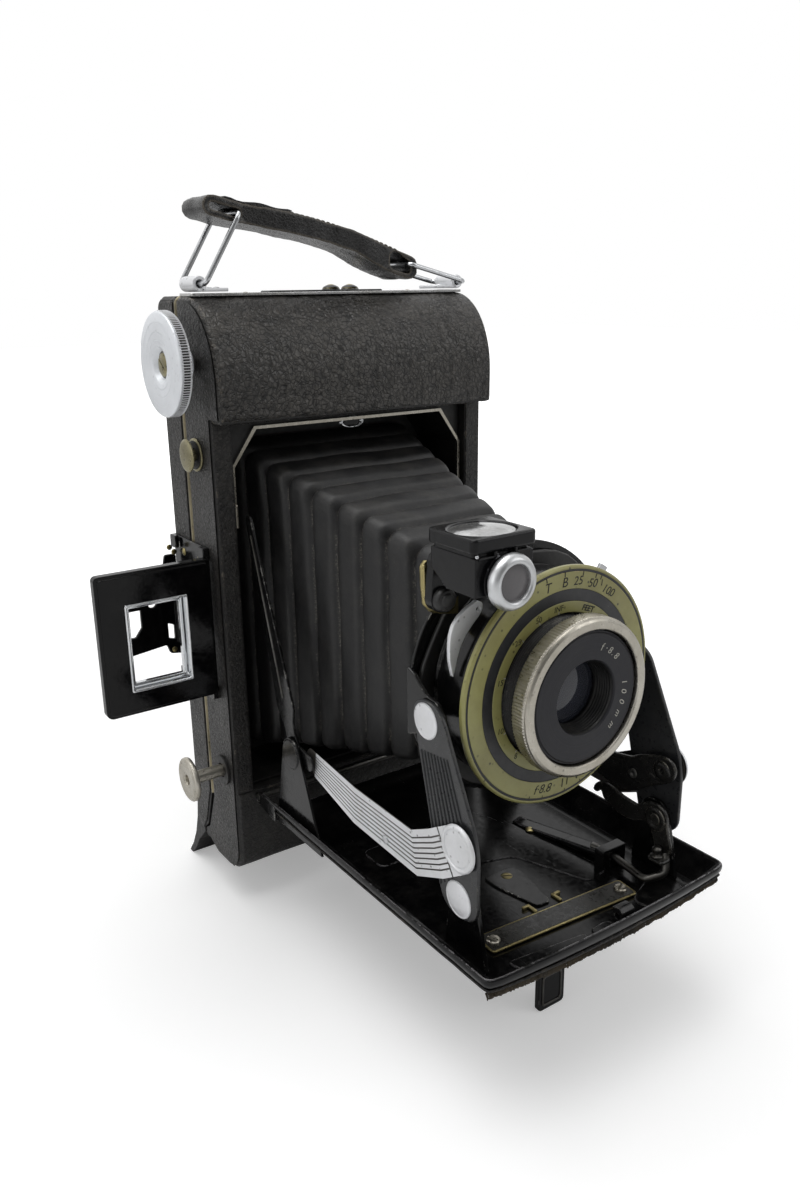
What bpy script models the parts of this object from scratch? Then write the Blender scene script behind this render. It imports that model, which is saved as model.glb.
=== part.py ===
"""Folding roll-film camera, standing open on its back foot and the leg of its bed.

Axes: X across the camera, the lens looks along -Y, +Z is up and Z = 0 is the table.
X = 0 is the lens plane and Y = 0 is the seam between the front body and the back cover.
All sizes below are in millimetres and become metres when a mesh is made.
"""
from math import atan2, cos, degrees, hypot, pi, radians, sin

import bmesh
import bpy
from mathutils import Matrix, Vector

MM = 0.001
GAP = 0.3                  # clearance between pieces that touch
RUN = 0.3                  # clearance of a pin in its hole

# Body
BODY_HALF = 41.1           # half width over the covered sides
TOP_Z = 162.0              # top of the body casting
BOTTOM_Z = 9.8             # underside of the supply chamber
RAIL_Y = -15.1             # front of the side rails
BULGE_Y = -20.4            # foremost point of the take-up chamber
LIP_Z = 133.4              # lower edge of the take-up chamber's bulge
SEAM = 1.3                 # width of the seam, which holds a bead
BACK_Y = 12.4              # outer face of the back cover
WALL = 1.0                 # body and cover wall
WELL_HALF = 36.0           # half width of the well between the rails
WELL_BOTTOM = 34.5
WELL_TOP = 132.6

# Bellows frame and film gate
FRAME_WALL = 0.7
FRAME_FRONT_Y = -12.5
GATE_Y = 6.5               # front face of the gate plate
GATE_T = 0.9
GATE_HALF_X = 28.6         # picture window, 57 by 83 mm
GATE_HALF_Z = 41.7
CHAMFER_X = WELL_HALF - 7.3           # where the chamfered top corners of the frame start
CHAMFER_Z = 121.7

# Spools
SPOOL_LEN = 65.0
SPOOL_R = 10.3
SPOOL_CORE_R = 4.2
SPOOL_BORE_R = 2.3
SPOOL_BORE_DEPTH = 5.0
TAKEUP = (-7.6, 147.0)
SUPPLY = (-2.4, 22.7)
SPOOL_PIN_R = 1.9
KNOB_R = 12.4
KNOB_FACE_X = -BODY_HALF - 8.4
KNOB_T = 3.6

# Bed (front door) and its hinge
HINGE = (-17.0, 33.0)
BED_HALF = WELL_HALF - 0.2
BED_REAR_Y = -19.6
BED_CORNER_Y = -113.8
BED_BOW = 2.2
BED_FLOOR_Z = 28.8
BED_RIM_Z = 35.2
BED_UNDER_Z = 26.0
BED_SLOPE = 3.6              # the stamped tray turns in under its side walls
BED_WALL = 1.0

# Fold linkage: pivots as (y, z)
ARM_LOW = (-97.8, 43.4)
ARM_TOP = (-86.7, 79.3)
LINK_FRONT = (-98.8, 56.0)
LINK_BEND = (-79.0, 46.6)
EAR_PIVOT = (-33.8, 51.9)
STRUT_TOP = (-15.6, 108.5)
CRANK_R = 7.0

# Distances of the linkage's layers from the lens plane, inner face and thickness
LATCH_X, LATCH_T = BED_HALF - 9.6, 0.8
LEVER_X, LEVER_T = BED_HALF - 8.5, 0.8
YOKE_X, YOKE_T = BED_HALF - 7.4, 1.0
ARM_X, ARM_T = BED_HALF - 6.1, 0.9
LINK_X, LINK_T = BED_HALF - 4.9, 0.7
STRUT_X, STRUT_T = BED_HALF - 3.4, 0.7
EAR_X, EAR_T = BED_HALF - 2.4, 0.6

# Lens and shutter: distances along the axis are y values
LENS_Z = 81.6
LENS_FRONT_Y = -101.7
FACE_Y = -93.9
FACE_R = 26.7
FACE_HOLE_R = 16.4
FACE_T = 1.2
DRUM_R = 24.4
DRUM_FRONT_Y = FACE_Y + FACE_T + GAP
BOARD_Y = -80.6
BOARD_T = 1.2
BOARD_R = 27.4
YOKE_Y = BOARD_Y + BOARD_T + GAP
YOKE_PLATE_T = 0.9
YOKE_HOLE_R = 10.4
YOKE_EAR_HALF = 9.0
DRUM_REAR_Y = BOARD_Y - GAP
BARREL_R = 15.9
BARREL_REAR_Y = -82.2
BARREL_LEN = 15.0
IRIS_Y = -85.6
BLADES_Y = -83.4
RING_R = 17.6
RING_FRONT_Y = -102.3
RING_T = 4.6

# Waist-level finder
WAIST_PIVOT = (-24.8, 103.8)
WAIST_X = (-28.0, -12.0)
WAIST_Y = (-98.0, -84.2)
WAIST_Z = (107.5, 119.0)
LID_T = 3.6

# Eye-level finder
FINDER_HINGE = (-BODY_HALF - 3.3, -8.6)
FINDER_X = (-BODY_HALF - 30.9, -BODY_HALF - 2.7)
FINDER_Z = (63.0, 99.5)
FINDER_T = 3.2
WINDOW_X = (-BODY_HALF - 23.9, -BODY_HALF - 8.4)
WINDOW_Z = (69.4, 91.3)
SIGHT_HINGE = (-BODY_HALF - 1.9, 8.8)
SIGHT_X = (-BODY_HALF - 18.2, -BODY_HALF - 1.6)
SIGHT_Z = (72.0, 98.0)
SIGHT_T = 0.9

# Carrying handle
CLIP_X = BODY_HALF - 2.7
CLIP_Z = 165.1
HANDLE_Y = -4.5
STRAP_W = 12.0
STRAP_T = 4.6
BAIL_LEN = 18.6
BAIL_R = 0.65
BAIL_LEFT_DEG = 58.0
BAIL_RIGHT_DEG = 13.7

MATERIALS = {
    "leather": ((0.020, 0.019, 0.018), 0.75, 0.0),
    "black_enamel": ((0.008, 0.008, 0.009), 0.22, 0.0),
    "black_metal": ((0.015, 0.015, 0.016), 0.45, 0.3),
    "chrome": ((0.80, 0.80, 0.80), 0.15, 1.0),
    "nickel": ((0.62, 0.60, 0.55), 0.35, 1.0),
    "brass": ((0.45, 0.38, 0.20), 0.40, 1.0),
    "steel": ((0.40, 0.40, 0.41), 0.35, 1.0),
    "olive_gold": ((0.38, 0.35, 0.11), 0.40, 0.2),
    "bellows_cloth": ((0.018, 0.017, 0.017), 0.90, 0.0),
    "glass": ((0.75, 0.80, 0.82), 0.05, 0.0),
    "red_glass": ((0.35, 0.01, 0.01), 0.10, 0.0),
}

parts = None
cutters = None


# ---------------------------------------------------------------- scene and materials
def start_scene():
    global parts, cutters
    for obj in list(bpy.data.objects):
        bpy.data.objects.remove(obj, do_unlink=True)
    parts = bpy.data.collections.new("folding_roll_film_camera")
    cutters = bpy.data.collections.new("cutters")
    bpy.context.scene.collection.children.link(parts)
    bpy.context.scene.collection.children.link(cutters)


def material(kind):
    mat = bpy.data.materials.get(kind)
    if mat:
        return mat
    rgb, roughness, metallic = MATERIALS[kind]
    mat = bpy.data.materials.new(kind)
    mat.use_nodes = True
    shader = mat.node_tree.nodes["Principled BSDF"]
    shader.inputs["Base Color"].default_value = (*rgb, 1.0)
    shader.inputs["Roughness"].default_value = roughness
    shader.inputs["Metallic"].default_value = metallic
    mat.diffuse_color = (*rgb, 1.0)
    return mat


def add_part(name, mesh, kind, smooth=40):
    obj = bpy.data.objects.new(name, mesh)
    parts.objects.link(obj)
    mesh.materials.clear()
    mesh.materials.append(material(kind))
    mesh.shade_smooth()
    mesh.set_sharp_from_angle(angle=radians(smooth))
    return obj


def tool(mesh, name="cutter"):
    obj = bpy.data.objects.new(name, mesh)
    cutters.objects.link(obj)
    obj.hide_render = True
    obj.display_type = "WIRE"
    return obj


def boolean(obj, mesh, operation):
    mod = obj.modifiers.new(operation.title(), "BOOLEAN")
    mod.operation = operation
    mod.solver = "EXACT"
    mod.object = tool(mesh, obj.name + "_" + operation.lower())
    return obj


def cut(obj, mesh):
    return boolean(obj, mesh, "DIFFERENCE")


def join(obj, mesh):
    return boolean(obj, mesh, "UNION")


def hang(pivot_name, location, *objects):
    """Parent the objects to an empty that stands on their joint's axis."""
    empty = bpy.data.objects.new(pivot_name, None)
    empty.location = Vector(location) * MM
    empty.empty_display_size = 0.004
    parts.objects.link(empty)
    bpy.context.view_layer.update()
    for obj in objects:
        obj.parent = empty
        obj.matrix_parent_inverse = empty.matrix_world.inverted()


# ---------------------------------------------------------------- outlines
def arc(cx, cy, r, start, end, steps=6):
    angles = [radians(start + (end - start) * i / steps) for i in range(steps + 1)]
    return [(cx + r * cos(a), cy + r * sin(a)) for a in angles]


def circle(cx, cy, r, steps=20):
    return arc(cx, cy, r, 0, 360, steps)[:-1]


def rounded(corners, radius, steps=3):
    """Polygon with its corners rounded to arcs of the given radius."""
    points = []
    count = len(corners)
    for i, corner in enumerate(corners):
        here = Vector(corner)
        before = (Vector(corners[i - 1]) - here)
        after = (Vector(corners[(i + 1) % count]) - here)
        half = before.angle(after) / 2
        room = 0.45 * min(before.length, after.length)
        r = min(radius, room * abs(sin(half) / cos(half))) if half < 1.5 else 0
        if r <= 0:
            points.append(tuple(here))
            continue
        reach = r * cos(half) / sin(half)
        centre = here + (before.normalized() + after.normalized()).normalized() * (r / sin(half))
        first = here + before.normalized() * reach - centre
        last = here + after.normalized() * reach - centre
        turn = first.angle_signed(last)
        for k in range(steps + 1):
            spoke = first.copy()
            spoke.rotate(Matrix.Rotation(-turn * k / steps, 2))
            points.append(tuple(centre + spoke))
    return points


def box_outline(u0, u1, v0, v1, radius=0.0, steps=3):
    corners = [(u0, v0), (u1, v0), (u1, v1), (u0, v1)]
    return rounded(corners, radius, steps) if radius else corners


def hull(circles, steps=24):
    """Convex outline round a set of circles, each (u, v, r)."""
    points = sorted(set(p for (u, v, r) in circles for p in (circle(u, v, r, steps) if r else [(u, v)])))
    return hull_chain(points)[:-1] + hull_chain(points[::-1])[:-1]


def hull_chain(points):
    """One side of a convex outline through sorted points."""
    chain = []
    for p in points:
        while len(chain) > 1 and turn_of(chain[-2], chain[-1], p) <= 1e-9:
            chain.pop()
        chain.append(p)
    return chain


def turn_of(a, b, c):
    return (b[0] - a[0]) * (c[1] - a[1]) - (b[1] - a[1]) * (c[0] - a[0])


def strip(path, halves, end_steps=6):
    """Outline of a band along a path, with its own half width at each point and round ends."""
    normals = []
    for i, _ in enumerate(path):
        a = Vector(path[max(i - 1, 0)])
        b = Vector(path[min(i + 1, len(path) - 1)])
        along = (b - a).normalized()
        normals.append(Vector((-along.y, along.x)))
    left = [tuple(Vector(p) + n * h) for p, n, h in zip(path, normals, halves)]
    right = [tuple(Vector(p) - n * h) for p, n, h in zip(path, normals, halves)]
    start_deg = degrees(atan2(normals[0].y, normals[0].x))
    end_deg = degrees(atan2(normals[-1].y, normals[-1].x))
    start_cap = arc(*path[0], halves[0], start_deg, start_deg + 180, end_steps)
    end_cap = arc(*path[-1], halves[-1], end_deg - 180, end_deg, end_steps)
    return left[::-1][:-1] + start_cap + right[1:-1] + end_cap[:-1]


def along(a, b, distance):
    """Point at a distance from a towards b."""
    step = Vector(b) - Vector(a)
    step.normalize()
    return tuple(Vector(a) + step * distance)


def bands(path, halves, shares, half):
    """Narrow bands that run side by side along a path, each at its share of the half width."""
    outlines = []
    for share in shares:
        line = []
        for i, point in enumerate(path):
            run = Vector(path[min(i + 1, len(path) - 1)]) - Vector(path[max(i - 1, 0)])
            run.normalize()
            line.append(tuple(Vector(point) + Vector((-run.y, run.x)) * halves[i] * share))
        outlines.append(strip(line, [half] * len(line), 1))
    return outlines


# ---------------------------------------------------------------- solids
PLANES = {
    "YZ": Matrix(((0, 0, 1), (1, 0, 0), (0, 1, 0))),      # normal +X
    "XZ": Matrix(((1, 0, 0), (0, 0, -1), (0, 1, 0))),     # normal -Y
    "XY": Matrix.Identity(3),                             # normal +Z
}


def flat_mesh(plane, outline, middle, thickness, holes=()):
    """Plate from a flat outline with holes, standing at middle along its plane's axis."""
    curve = bpy.data.curves.new("outline", "CURVE")
    curve.dimensions = "2D"
    curve.fill_mode = "BOTH"
    curve.extrude = thickness / 2 * MM
    for loop in (outline, *holes):
        spline = curve.splines.new("POLY")
        spline.points.add(len(loop) - 1)
        for point, (u, v) in zip(spline.points, loop):
            point.co = (u * MM, v * MM, 0, 1)
        spline.use_cyclic_u = True
    holder = bpy.data.objects.new("outline", curve)
    bpy.context.scene.collection.objects.link(holder)
    graph = bpy.context.evaluated_depsgraph_get()
    mesh = bpy.data.meshes.new_from_object(holder.evaluated_get(graph))
    bpy.data.objects.remove(holder)
    turn = PLANES[plane].to_4x4()
    normal = turn.to_3x3() @ Vector((0, 0, 1))
    axis_sign = -1 if plane == "XZ" else 1
    turn.translation = normal * middle * axis_sign * MM
    work = bmesh.new()
    work.from_mesh(mesh)
    bmesh.ops.remove_doubles(work, verts=work.verts, dist=1e-7)
    bmesh.ops.transform(work, matrix=turn, verts=work.verts)
    bmesh.ops.recalc_face_normals(work, faces=work.faces)
    work.to_mesh(mesh)
    work.free()
    return mesh


def box_mesh(x, y, z, bevel=0.0, segments=2):
    """Box between pairs of limits, with its edges rounded."""
    work = bmesh.new()
    bmesh.ops.create_cube(work, size=1.0)
    size = Vector((x[1] - x[0], y[1] - y[0], z[1] - z[0]))
    centre = Vector((x[0] + x[1], y[0] + y[1], z[0] + z[1])) / 2
    bmesh.ops.scale(work, vec=size * MM, verts=work.verts)
    bmesh.ops.translate(work, vec=centre * MM, verts=work.verts)
    if bevel:
        bmesh.ops.bevel(work, geom=work.edges, offset=bevel * MM, segments=segments,
                        profile=0.5, affect="EDGES", material=-1)
    mesh = bpy.data.meshes.new("box")
    work.to_mesh(mesh)
    work.free()
    return mesh


AXES = {
    "X": Matrix.Rotation(pi / 2, 4, "Y"),
    "-X": Matrix.Rotation(-pi / 2, 4, "Y"),
    "-Y": Matrix.Rotation(pi / 2, 4, "X"),
    "Y": Matrix.Rotation(-pi / 2, 4, "X"),
    "Z": Matrix.Identity(4),
    "-Z": Matrix.Rotation(pi, 4, "X"),
}


def turned(name, kind, axis, place, profile, closed=False, steps=32):
    """Turned piece: profile is (radius, height), running down its outer side, height along axis."""
    mesh = bpy.data.meshes.new(name)
    points = [(r * MM, 0, h * MM) for r, h in profile]
    edges = [(i, i + 1) for i in range(len(points) - 1)]
    if closed:
        edges.append((len(points) - 1, 0))
    mesh.from_pydata(points, edges, [])
    obj = add_part(name, mesh, kind)
    obj.matrix_world = Matrix.Translation(Vector(place) * MM) @ AXES[axis]
    screw = obj.modifiers.new("Screw", "SCREW")
    screw.axis = "Z"
    screw.angle = 2 * pi
    screw.steps = steps
    screw.render_steps = steps
    screw.use_merge_vertices = True
    screw.merge_threshold = 0.00001
    screw.use_smooth_shade = True
    return obj


def turned_mesh(axis, place, profile, steps=32):
    """Closed turned mesh for a Boolean, from the profile of turned()."""
    work = bmesh.new()
    verts = [work.verts.new((r * MM, 0, h * MM)) for r, h in profile]
    edges = [work.edges.new(pair) for pair in zip(verts, verts[1:])]
    bmesh.ops.spin(work, geom=verts + edges, cent=(0, 0, 0), axis=(0, 0, 1), angle=2 * pi,
                   steps=steps, use_merge=True)
    bmesh.ops.remove_doubles(work, verts=work.verts, dist=1e-7)
    bmesh.ops.transform(work, matrix=Matrix.Translation(Vector(place) * MM) @ AXES[axis],
                        verts=work.verts)
    bmesh.ops.recalc_face_normals(work, faces=work.faces)
    mesh = bpy.data.meshes.new("turned")
    work.to_mesh(mesh)
    work.free()
    return mesh


def bridge(work, a, b):
    for i in range(len(a)):
        j = (i + 1) % len(a)
        work.faces.new((a[i], a[j], b[j], b[i]))


def fluted(name, kind, axis, place, profile, teeth, depth):
    """Turned piece from a closed loop of (radius, height, 1 where the ring carries straight flutes)."""
    work = bmesh.new()
    rings = []
    for r, h, grooved in profile:
        ring = []
        for i in range(2 * teeth):
            reach = (r - depth * grooved * (i % 2)) * MM
            ring.append(work.verts.new((reach * cos(pi * i / teeth), reach * sin(pi * i / teeth), h * MM)))
        rings.append(ring)
    for a, b in zip(rings, rings[1:] + rings[:1]):
        bridge(work, a, b)
    bmesh.ops.recalc_face_normals(work, faces=work.faces)
    mesh = bpy.data.meshes.new(name)
    work.to_mesh(mesh)
    work.free()
    obj = add_part(name, mesh, kind, smooth=35)
    obj.matrix_world = Matrix.Translation(Vector(place) * MM) @ AXES[axis]
    return obj


def pin(name, kind, axis, place, radius, length, steps=16):
    return turned(name, kind, axis, place,
                  [(0, length), (radius, length), (radius, 0), (0, 0)], steps=steps)


def ring_profile(outer, inner, top, bottom):
    return [(outer, top), (outer, bottom), (inner, bottom), (inner, top)]


def cylinder_mesh(axis, place, radius, length, steps=24):
    """Cutter: cylinder of a length along axis from place."""
    work = bmesh.new()
    bmesh.ops.create_cone(work, cap_ends=True, segments=steps, radius1=radius * MM,
                          radius2=radius * MM, depth=length * MM)
    bmesh.ops.translate(work, vec=(0, 0, length / 2 * MM), verts=work.verts)
    bmesh.ops.transform(work, matrix=Matrix.Translation(Vector(place) * MM) @ AXES[axis],
                        verts=work.verts)
    mesh = bpy.data.meshes.new("cylinder")
    work.to_mesh(mesh)
    work.free()
    return mesh


def wire(name, kind, points, radius, cyclic=False, resolution=2):
    """Round wire along a path of points."""
    curve = bpy.data.curves.new(name, "CURVE")
    curve.dimensions = "3D"
    curve.bevel_depth = radius * MM
    curve.bevel_resolution = resolution
    curve.use_fill_caps = True
    spline = curve.splines.new("POLY")
    spline.points.add(len(points) - 1)
    for point, place in zip(spline.points, points):
        point.co = (*(Vector(place) * MM), 1)
    spline.use_cyclic_u = cyclic
    obj = bpy.data.objects.new(name, curve)
    parts.objects.link(obj)
    curve.materials.append(material(kind))
    return obj


def rounded_path(corners, radius, steps=4, cyclic=False):
    """Path through corners in space, each rounded to an arc-like bend."""
    points = []
    count = len(corners)
    for i, corner in enumerate(corners):
        here = Vector(corner)
        if not cyclic and i in (0, count - 1):
            points.append(here)
            continue
        before = Vector(corners[i - 1])
        after = Vector(corners[(i + 1) % count])
        start = here + (before - here).normalized() * radius
        end = here + (after - here).normalized() * radius
        for k in range(steps + 1):
            t = k / steps
            points.append(start * (1 - t) ** 2 + here * 2 * t * (1 - t) + end * t ** 2)
    return [tuple(p) for p in points]


def side_name(name, side):
    return name + ("_left" if side < 0 else "_right")


def side_plate(name, kind, side, inner, thickness, outline, holes=()):
    """Plate of the fold linkage, in its layer beside the lens plane."""
    middle = side * (inner + thickness / 2)
    return add_part(side_name(name, side), flat_mesh("YZ", outline, middle, thickness, holes), kind)


# ---------------------------------------------------------------- body
def body_outline():
    bulge = [(-4.4 + (BULGE_Y + 4.4) * sin(radians(t)), 142 + (TOP_Z - 142) * cos(radians(t)))
             for t in range(0, 91, 15)]
    return [(0, TOP_Z)] + bulge + [
        (BULGE_Y, LIP_Z), (RAIL_Y, LIP_Z)] + arc(RAIL_Y + 7, BOTTOM_Z + 7, 7, 180, 270, 4) + [
        (0, BOTTOM_Z + 0.2), (5.0, 12.4), (5.6, 13.6), (0, 27.5)]


def chamber_outlines():
    top = [(-4.4 + (BULGE_Y + WALL + 4.4) * sin(radians(t)),
            142 + (TOP_Z - WALL - 142) * cos(radians(t))) for t in range(0, 91, 15)]
    upper = [(8, TOP_Z - WALL)] + top + [(BULGE_Y + WALL, LIP_Z + WALL), (8, LIP_Z + WALL)]
    corner = arc(RAIL_Y + 7, BOTTOM_Z + 7, 7 - WALL, 180, 270, 4)
    lower = [(8, WELL_BOTTOM - WALL), (RAIL_Y + WALL, WELL_BOTTOM - WALL)] + corner + [
        (0, BOTTOM_Z + 1.3), (4.6, 13.8), (8, 15.5)]
    return upper, lower


SIDE_ROUNDING = 0.9


def soften_sides(mesh, low_y, high_y, low_z):
    """Round the edges between the side faces and the outer skin within the given limits."""
    work = bmesh.new()
    work.from_mesh(mesh)
    corners = []
    for edge in work.edges:
        places = [v.co / MM for v in edge.verts]
        on_side = all(abs(abs(p.x) - BODY_HALF) < 0.01 for p in places) and places[0].x * places[1].x > 0
        inside = all(low_y - 0.01 < p.y < high_y + 0.01 and p.z > low_z for p in places)
        flat = any(abs(places[0].y - y) < 0.01 and abs(places[1].y - y) < 0.01 for y in (0, SEAM))
        if on_side and inside and not flat and edge.calc_face_angle(0) > 1:
            corners.append(edge)
    bmesh.ops.bevel(work, geom=corners, offset=SIDE_ROUNDING * MM, segments=2, profile=0.5,
                    affect="EDGES", material=-1)
    work.to_mesh(mesh)
    work.free()
    return mesh


def make_front_body():
    mesh = soften_sides(flat_mesh("YZ", body_outline(), 0, 2 * BODY_HALF), BULGE_Y, 0, 0)
    body = add_part("front_body", mesh, "leather")
    for outline in chamber_outlines():
        cut(body, flat_mesh("YZ", outline, 0, 2 * (BODY_HALF - WALL)))
    for side, place in ((1, TAKEUP), (-1, SUPPLY), (1, SUPPLY)):
        inward = "X" if side < 0 else "-X"
        holder = turned_mesh(inward, (side * (BODY_HALF - 0.5), *place), spool_holder(), 22)
        join(body, holder)
    cut(body, box_mesh((-WELL_HALF, WELL_HALF), (-40, 20), (WELL_BOTTOM, WELL_TOP)))
    for side in (-1, 1):
        lug = hull([(*BACK_HINGE, 1.5), (1.0, 17.0, 1.0), (3.6, 14.0, 0.6)], 16)
        join(body, flat_mesh("YZ", lug, side * (BODY_HALF - 0.25 - LUG_T / 2), LUG_T))
    join(body, cylinder_mesh("X", (-BODY_HALF + 1.5, *BACK_HINGE), BACK_PIN_R, 2 * BODY_HALF - 3, 16))
    flange_t = 1.0
    for place, r in ((PULL_PIN, 4.15), (RELEASE, 3.6)):
        join(body, cylinder_mesh("-X", (-BODY_HALF + 0.5, *place), r, flange_t + 0.5, 27))
    cut(body, cylinder_mesh("X", (-50, *TAKEUP), 1.9 + RUN, 12))
    cut(body, cylinder_mesh("X", (-50, *PULL_PIN), PULL_SHAFT_R + RUN, 18))
    cut(body, cylinder_mesh("X", (-50, *RELEASE), RELEASE_SHAFT_R + RUN, 18))


def spool_holder():
    """Boss and pin on a chamber wall; the pin stops short of the bottom of the spool's bore."""
    wall = BODY_HALF - 0.5
    reach = wall - SPOOL_LEN / 2 + SPOOL_BORE_DEPTH - 1.0
    boss = wall - SPOOL_LEN / 2 - 0.8
    return [(0, reach), (SPOOL_PIN_R, reach), (SPOOL_PIN_R, boss), (3.4, boss), (3.4, 0), (0, 0)]


BACK_HINGE = (6.7, 13.1)
BACK_PIN_R = 0.9
LUG_T = 2.6


PULL_PIN = (-8.6, 39.6)
PULL_SHAFT_R = 1.7
PULL_DISC_X = -BODY_HALF - 10.9
RELEASE = (-6.0, 124.8)
RELEASE_SHAFT_R = 1.4
RELEASE_DISC_X = -BODY_HALF - 4.1
RELEASE_STROKE = 1.5


def make_bellows_frame():
    outer = WELL_HALF - GAP
    inner = outer - FRAME_WALL
    low = WELL_BOTTOM + GAP
    high = WELL_TOP - GAP
    frame = add_part("bellows_frame",
                     box_mesh((-outer, outer), (FRAME_FRONT_Y, GATE_Y + GATE_T), (low, high)),
                     "black_metal")
    floor = low + FRAME_WALL
    ceiling = high - FRAME_WALL - 0.5
    opening = [(-inner, floor), (inner, floor), (inner, CHAMFER_Z), (CHAMFER_X, ceiling),
               (-CHAMFER_X, ceiling), (-inner, CHAMFER_Z)]
    depth = GATE_Y - FRAME_FRONT_Y + 10
    cut(frame, flat_mesh("XZ", opening, GATE_Y - depth / 2, depth))
    cut(frame, box_mesh((-GATE_HALF_X, GATE_HALF_X), (0, 20),
                        (LENS_Z - GATE_HALF_Z, LENS_Z + GATE_HALF_Z)))
    roller_r = 1.6
    for name, z in (("film_roller_top", high + GAP + roller_r),
                    ("film_roller_bottom", low - GAP - roller_r)):
        pin(name, "steel", "X", (3 - WELL_HALF, GATE_Y - 0.4, z), roller_r, 2 * WELL_HALF - 6)


def steps_of_turn(count):
    return [2 * pi * i / count for i in range(count)]


def make_spools():
    half = SPOOL_LEN / 2
    flange = 1.2
    web = half - SPOOL_BORE_DEPTH
    profile = [(0, web), (SPOOL_BORE_R, web), (SPOOL_BORE_R, half), (SPOOL_R, half),
               (SPOOL_R, half - flange), (SPOOL_CORE_R, half - flange),
               (SPOOL_CORE_R, flange - half), (SPOOL_R, flange - half), (SPOOL_R, -half),
               (SPOOL_BORE_R, -half), (SPOOL_BORE_R, -web), (0, -web)]
    take_up = turned("take_up_spool", "black_metal", "X", (0, *TAKEUP), profile)
    turned("supply_spool", "black_metal", "X", (0, *SUPPLY), profile)
    return take_up


def make_winder(take_up):
    hub = 3.6
    back = hub + KNOB_T
    bore = 1.9 + RUN
    knob = fluted("winding_knob", "nickel", "-X", (KNOB_FACE_X + back, *TAKEUP),
                  [(bore, back - 2.0, 0), (4.0, back - 2.0, 0), (4.8, back, 0), (KNOB_R - 0.5, back, 0),
                   (KNOB_R, back - 0.5, 1), (KNOB_R, hub, 1), (4.0, hub, 0), (4.0, 0, 0), (bore, 0, 0)],
                  36, 0.45)
    shaft_end = -SPOOL_LEN / 2 + SPOOL_BORE_DEPTH - 1.0
    head = KNOB_FACE_X + 1.0
    shaft = turned("winding_shaft", "brass", "-X", (shaft_end, *TAKEUP),
                   [(0, shaft_end - head), (3.2, shaft_end - head), (3.2, shaft_end - head - 0.7),
                    (1.9, shaft_end - head - 0.7), (1.9, 0), (0, 0)], steps=20)
    hang("winder_axis", (0, *TAKEUP), knob, shaft, take_up)


def make_side_controls():
    """Spool pull pin and bed release button, each with its disc outside and its shaft through the wall."""
    shaft_len = -BODY_HALF + 0.8 - PULL_DISC_X
    pull = turned("spool_pull_pin", "nickel", "-X", (PULL_DISC_X + shaft_len, *PULL_PIN),
                  [(0, shaft_len - 1.2), (1.4, shaft_len - 1.2), (1.4, shaft_len), (5.6, shaft_len),
                   (6.0, shaft_len - 0.4), (6.0, shaft_len - 1.4), (PULL_SHAFT_R, shaft_len - 1.8),
                   (PULL_SHAFT_R, 0), (0, 0)], steps=28)
    hang("pull_pin_axis", (PULL_DISC_X, *PULL_PIN), pull)
    shaft_len = -WELL_HALF - RELEASE_STROKE - 3 * GAP - RELEASE_DISC_X
    button = turned("release_button", "brass", "-X", (RELEASE_DISC_X + shaft_len, *RELEASE),
                    [(0, shaft_len), (3.7, shaft_len), (4.1, shaft_len - 0.4), (4.1, shaft_len - 1.2),
                     (RELEASE_SHAFT_R, shaft_len - 1.5), (RELEASE_SHAFT_R, 0), (0, 0)], steps=28)
    hang("release_axis", (RELEASE_DISC_X, *RELEASE), button)


# ---------------------------------------------------------------- back cover
FOOT_TIP_Y = 21.6
WINDOW_CENTRE_Z = 60.0


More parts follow.
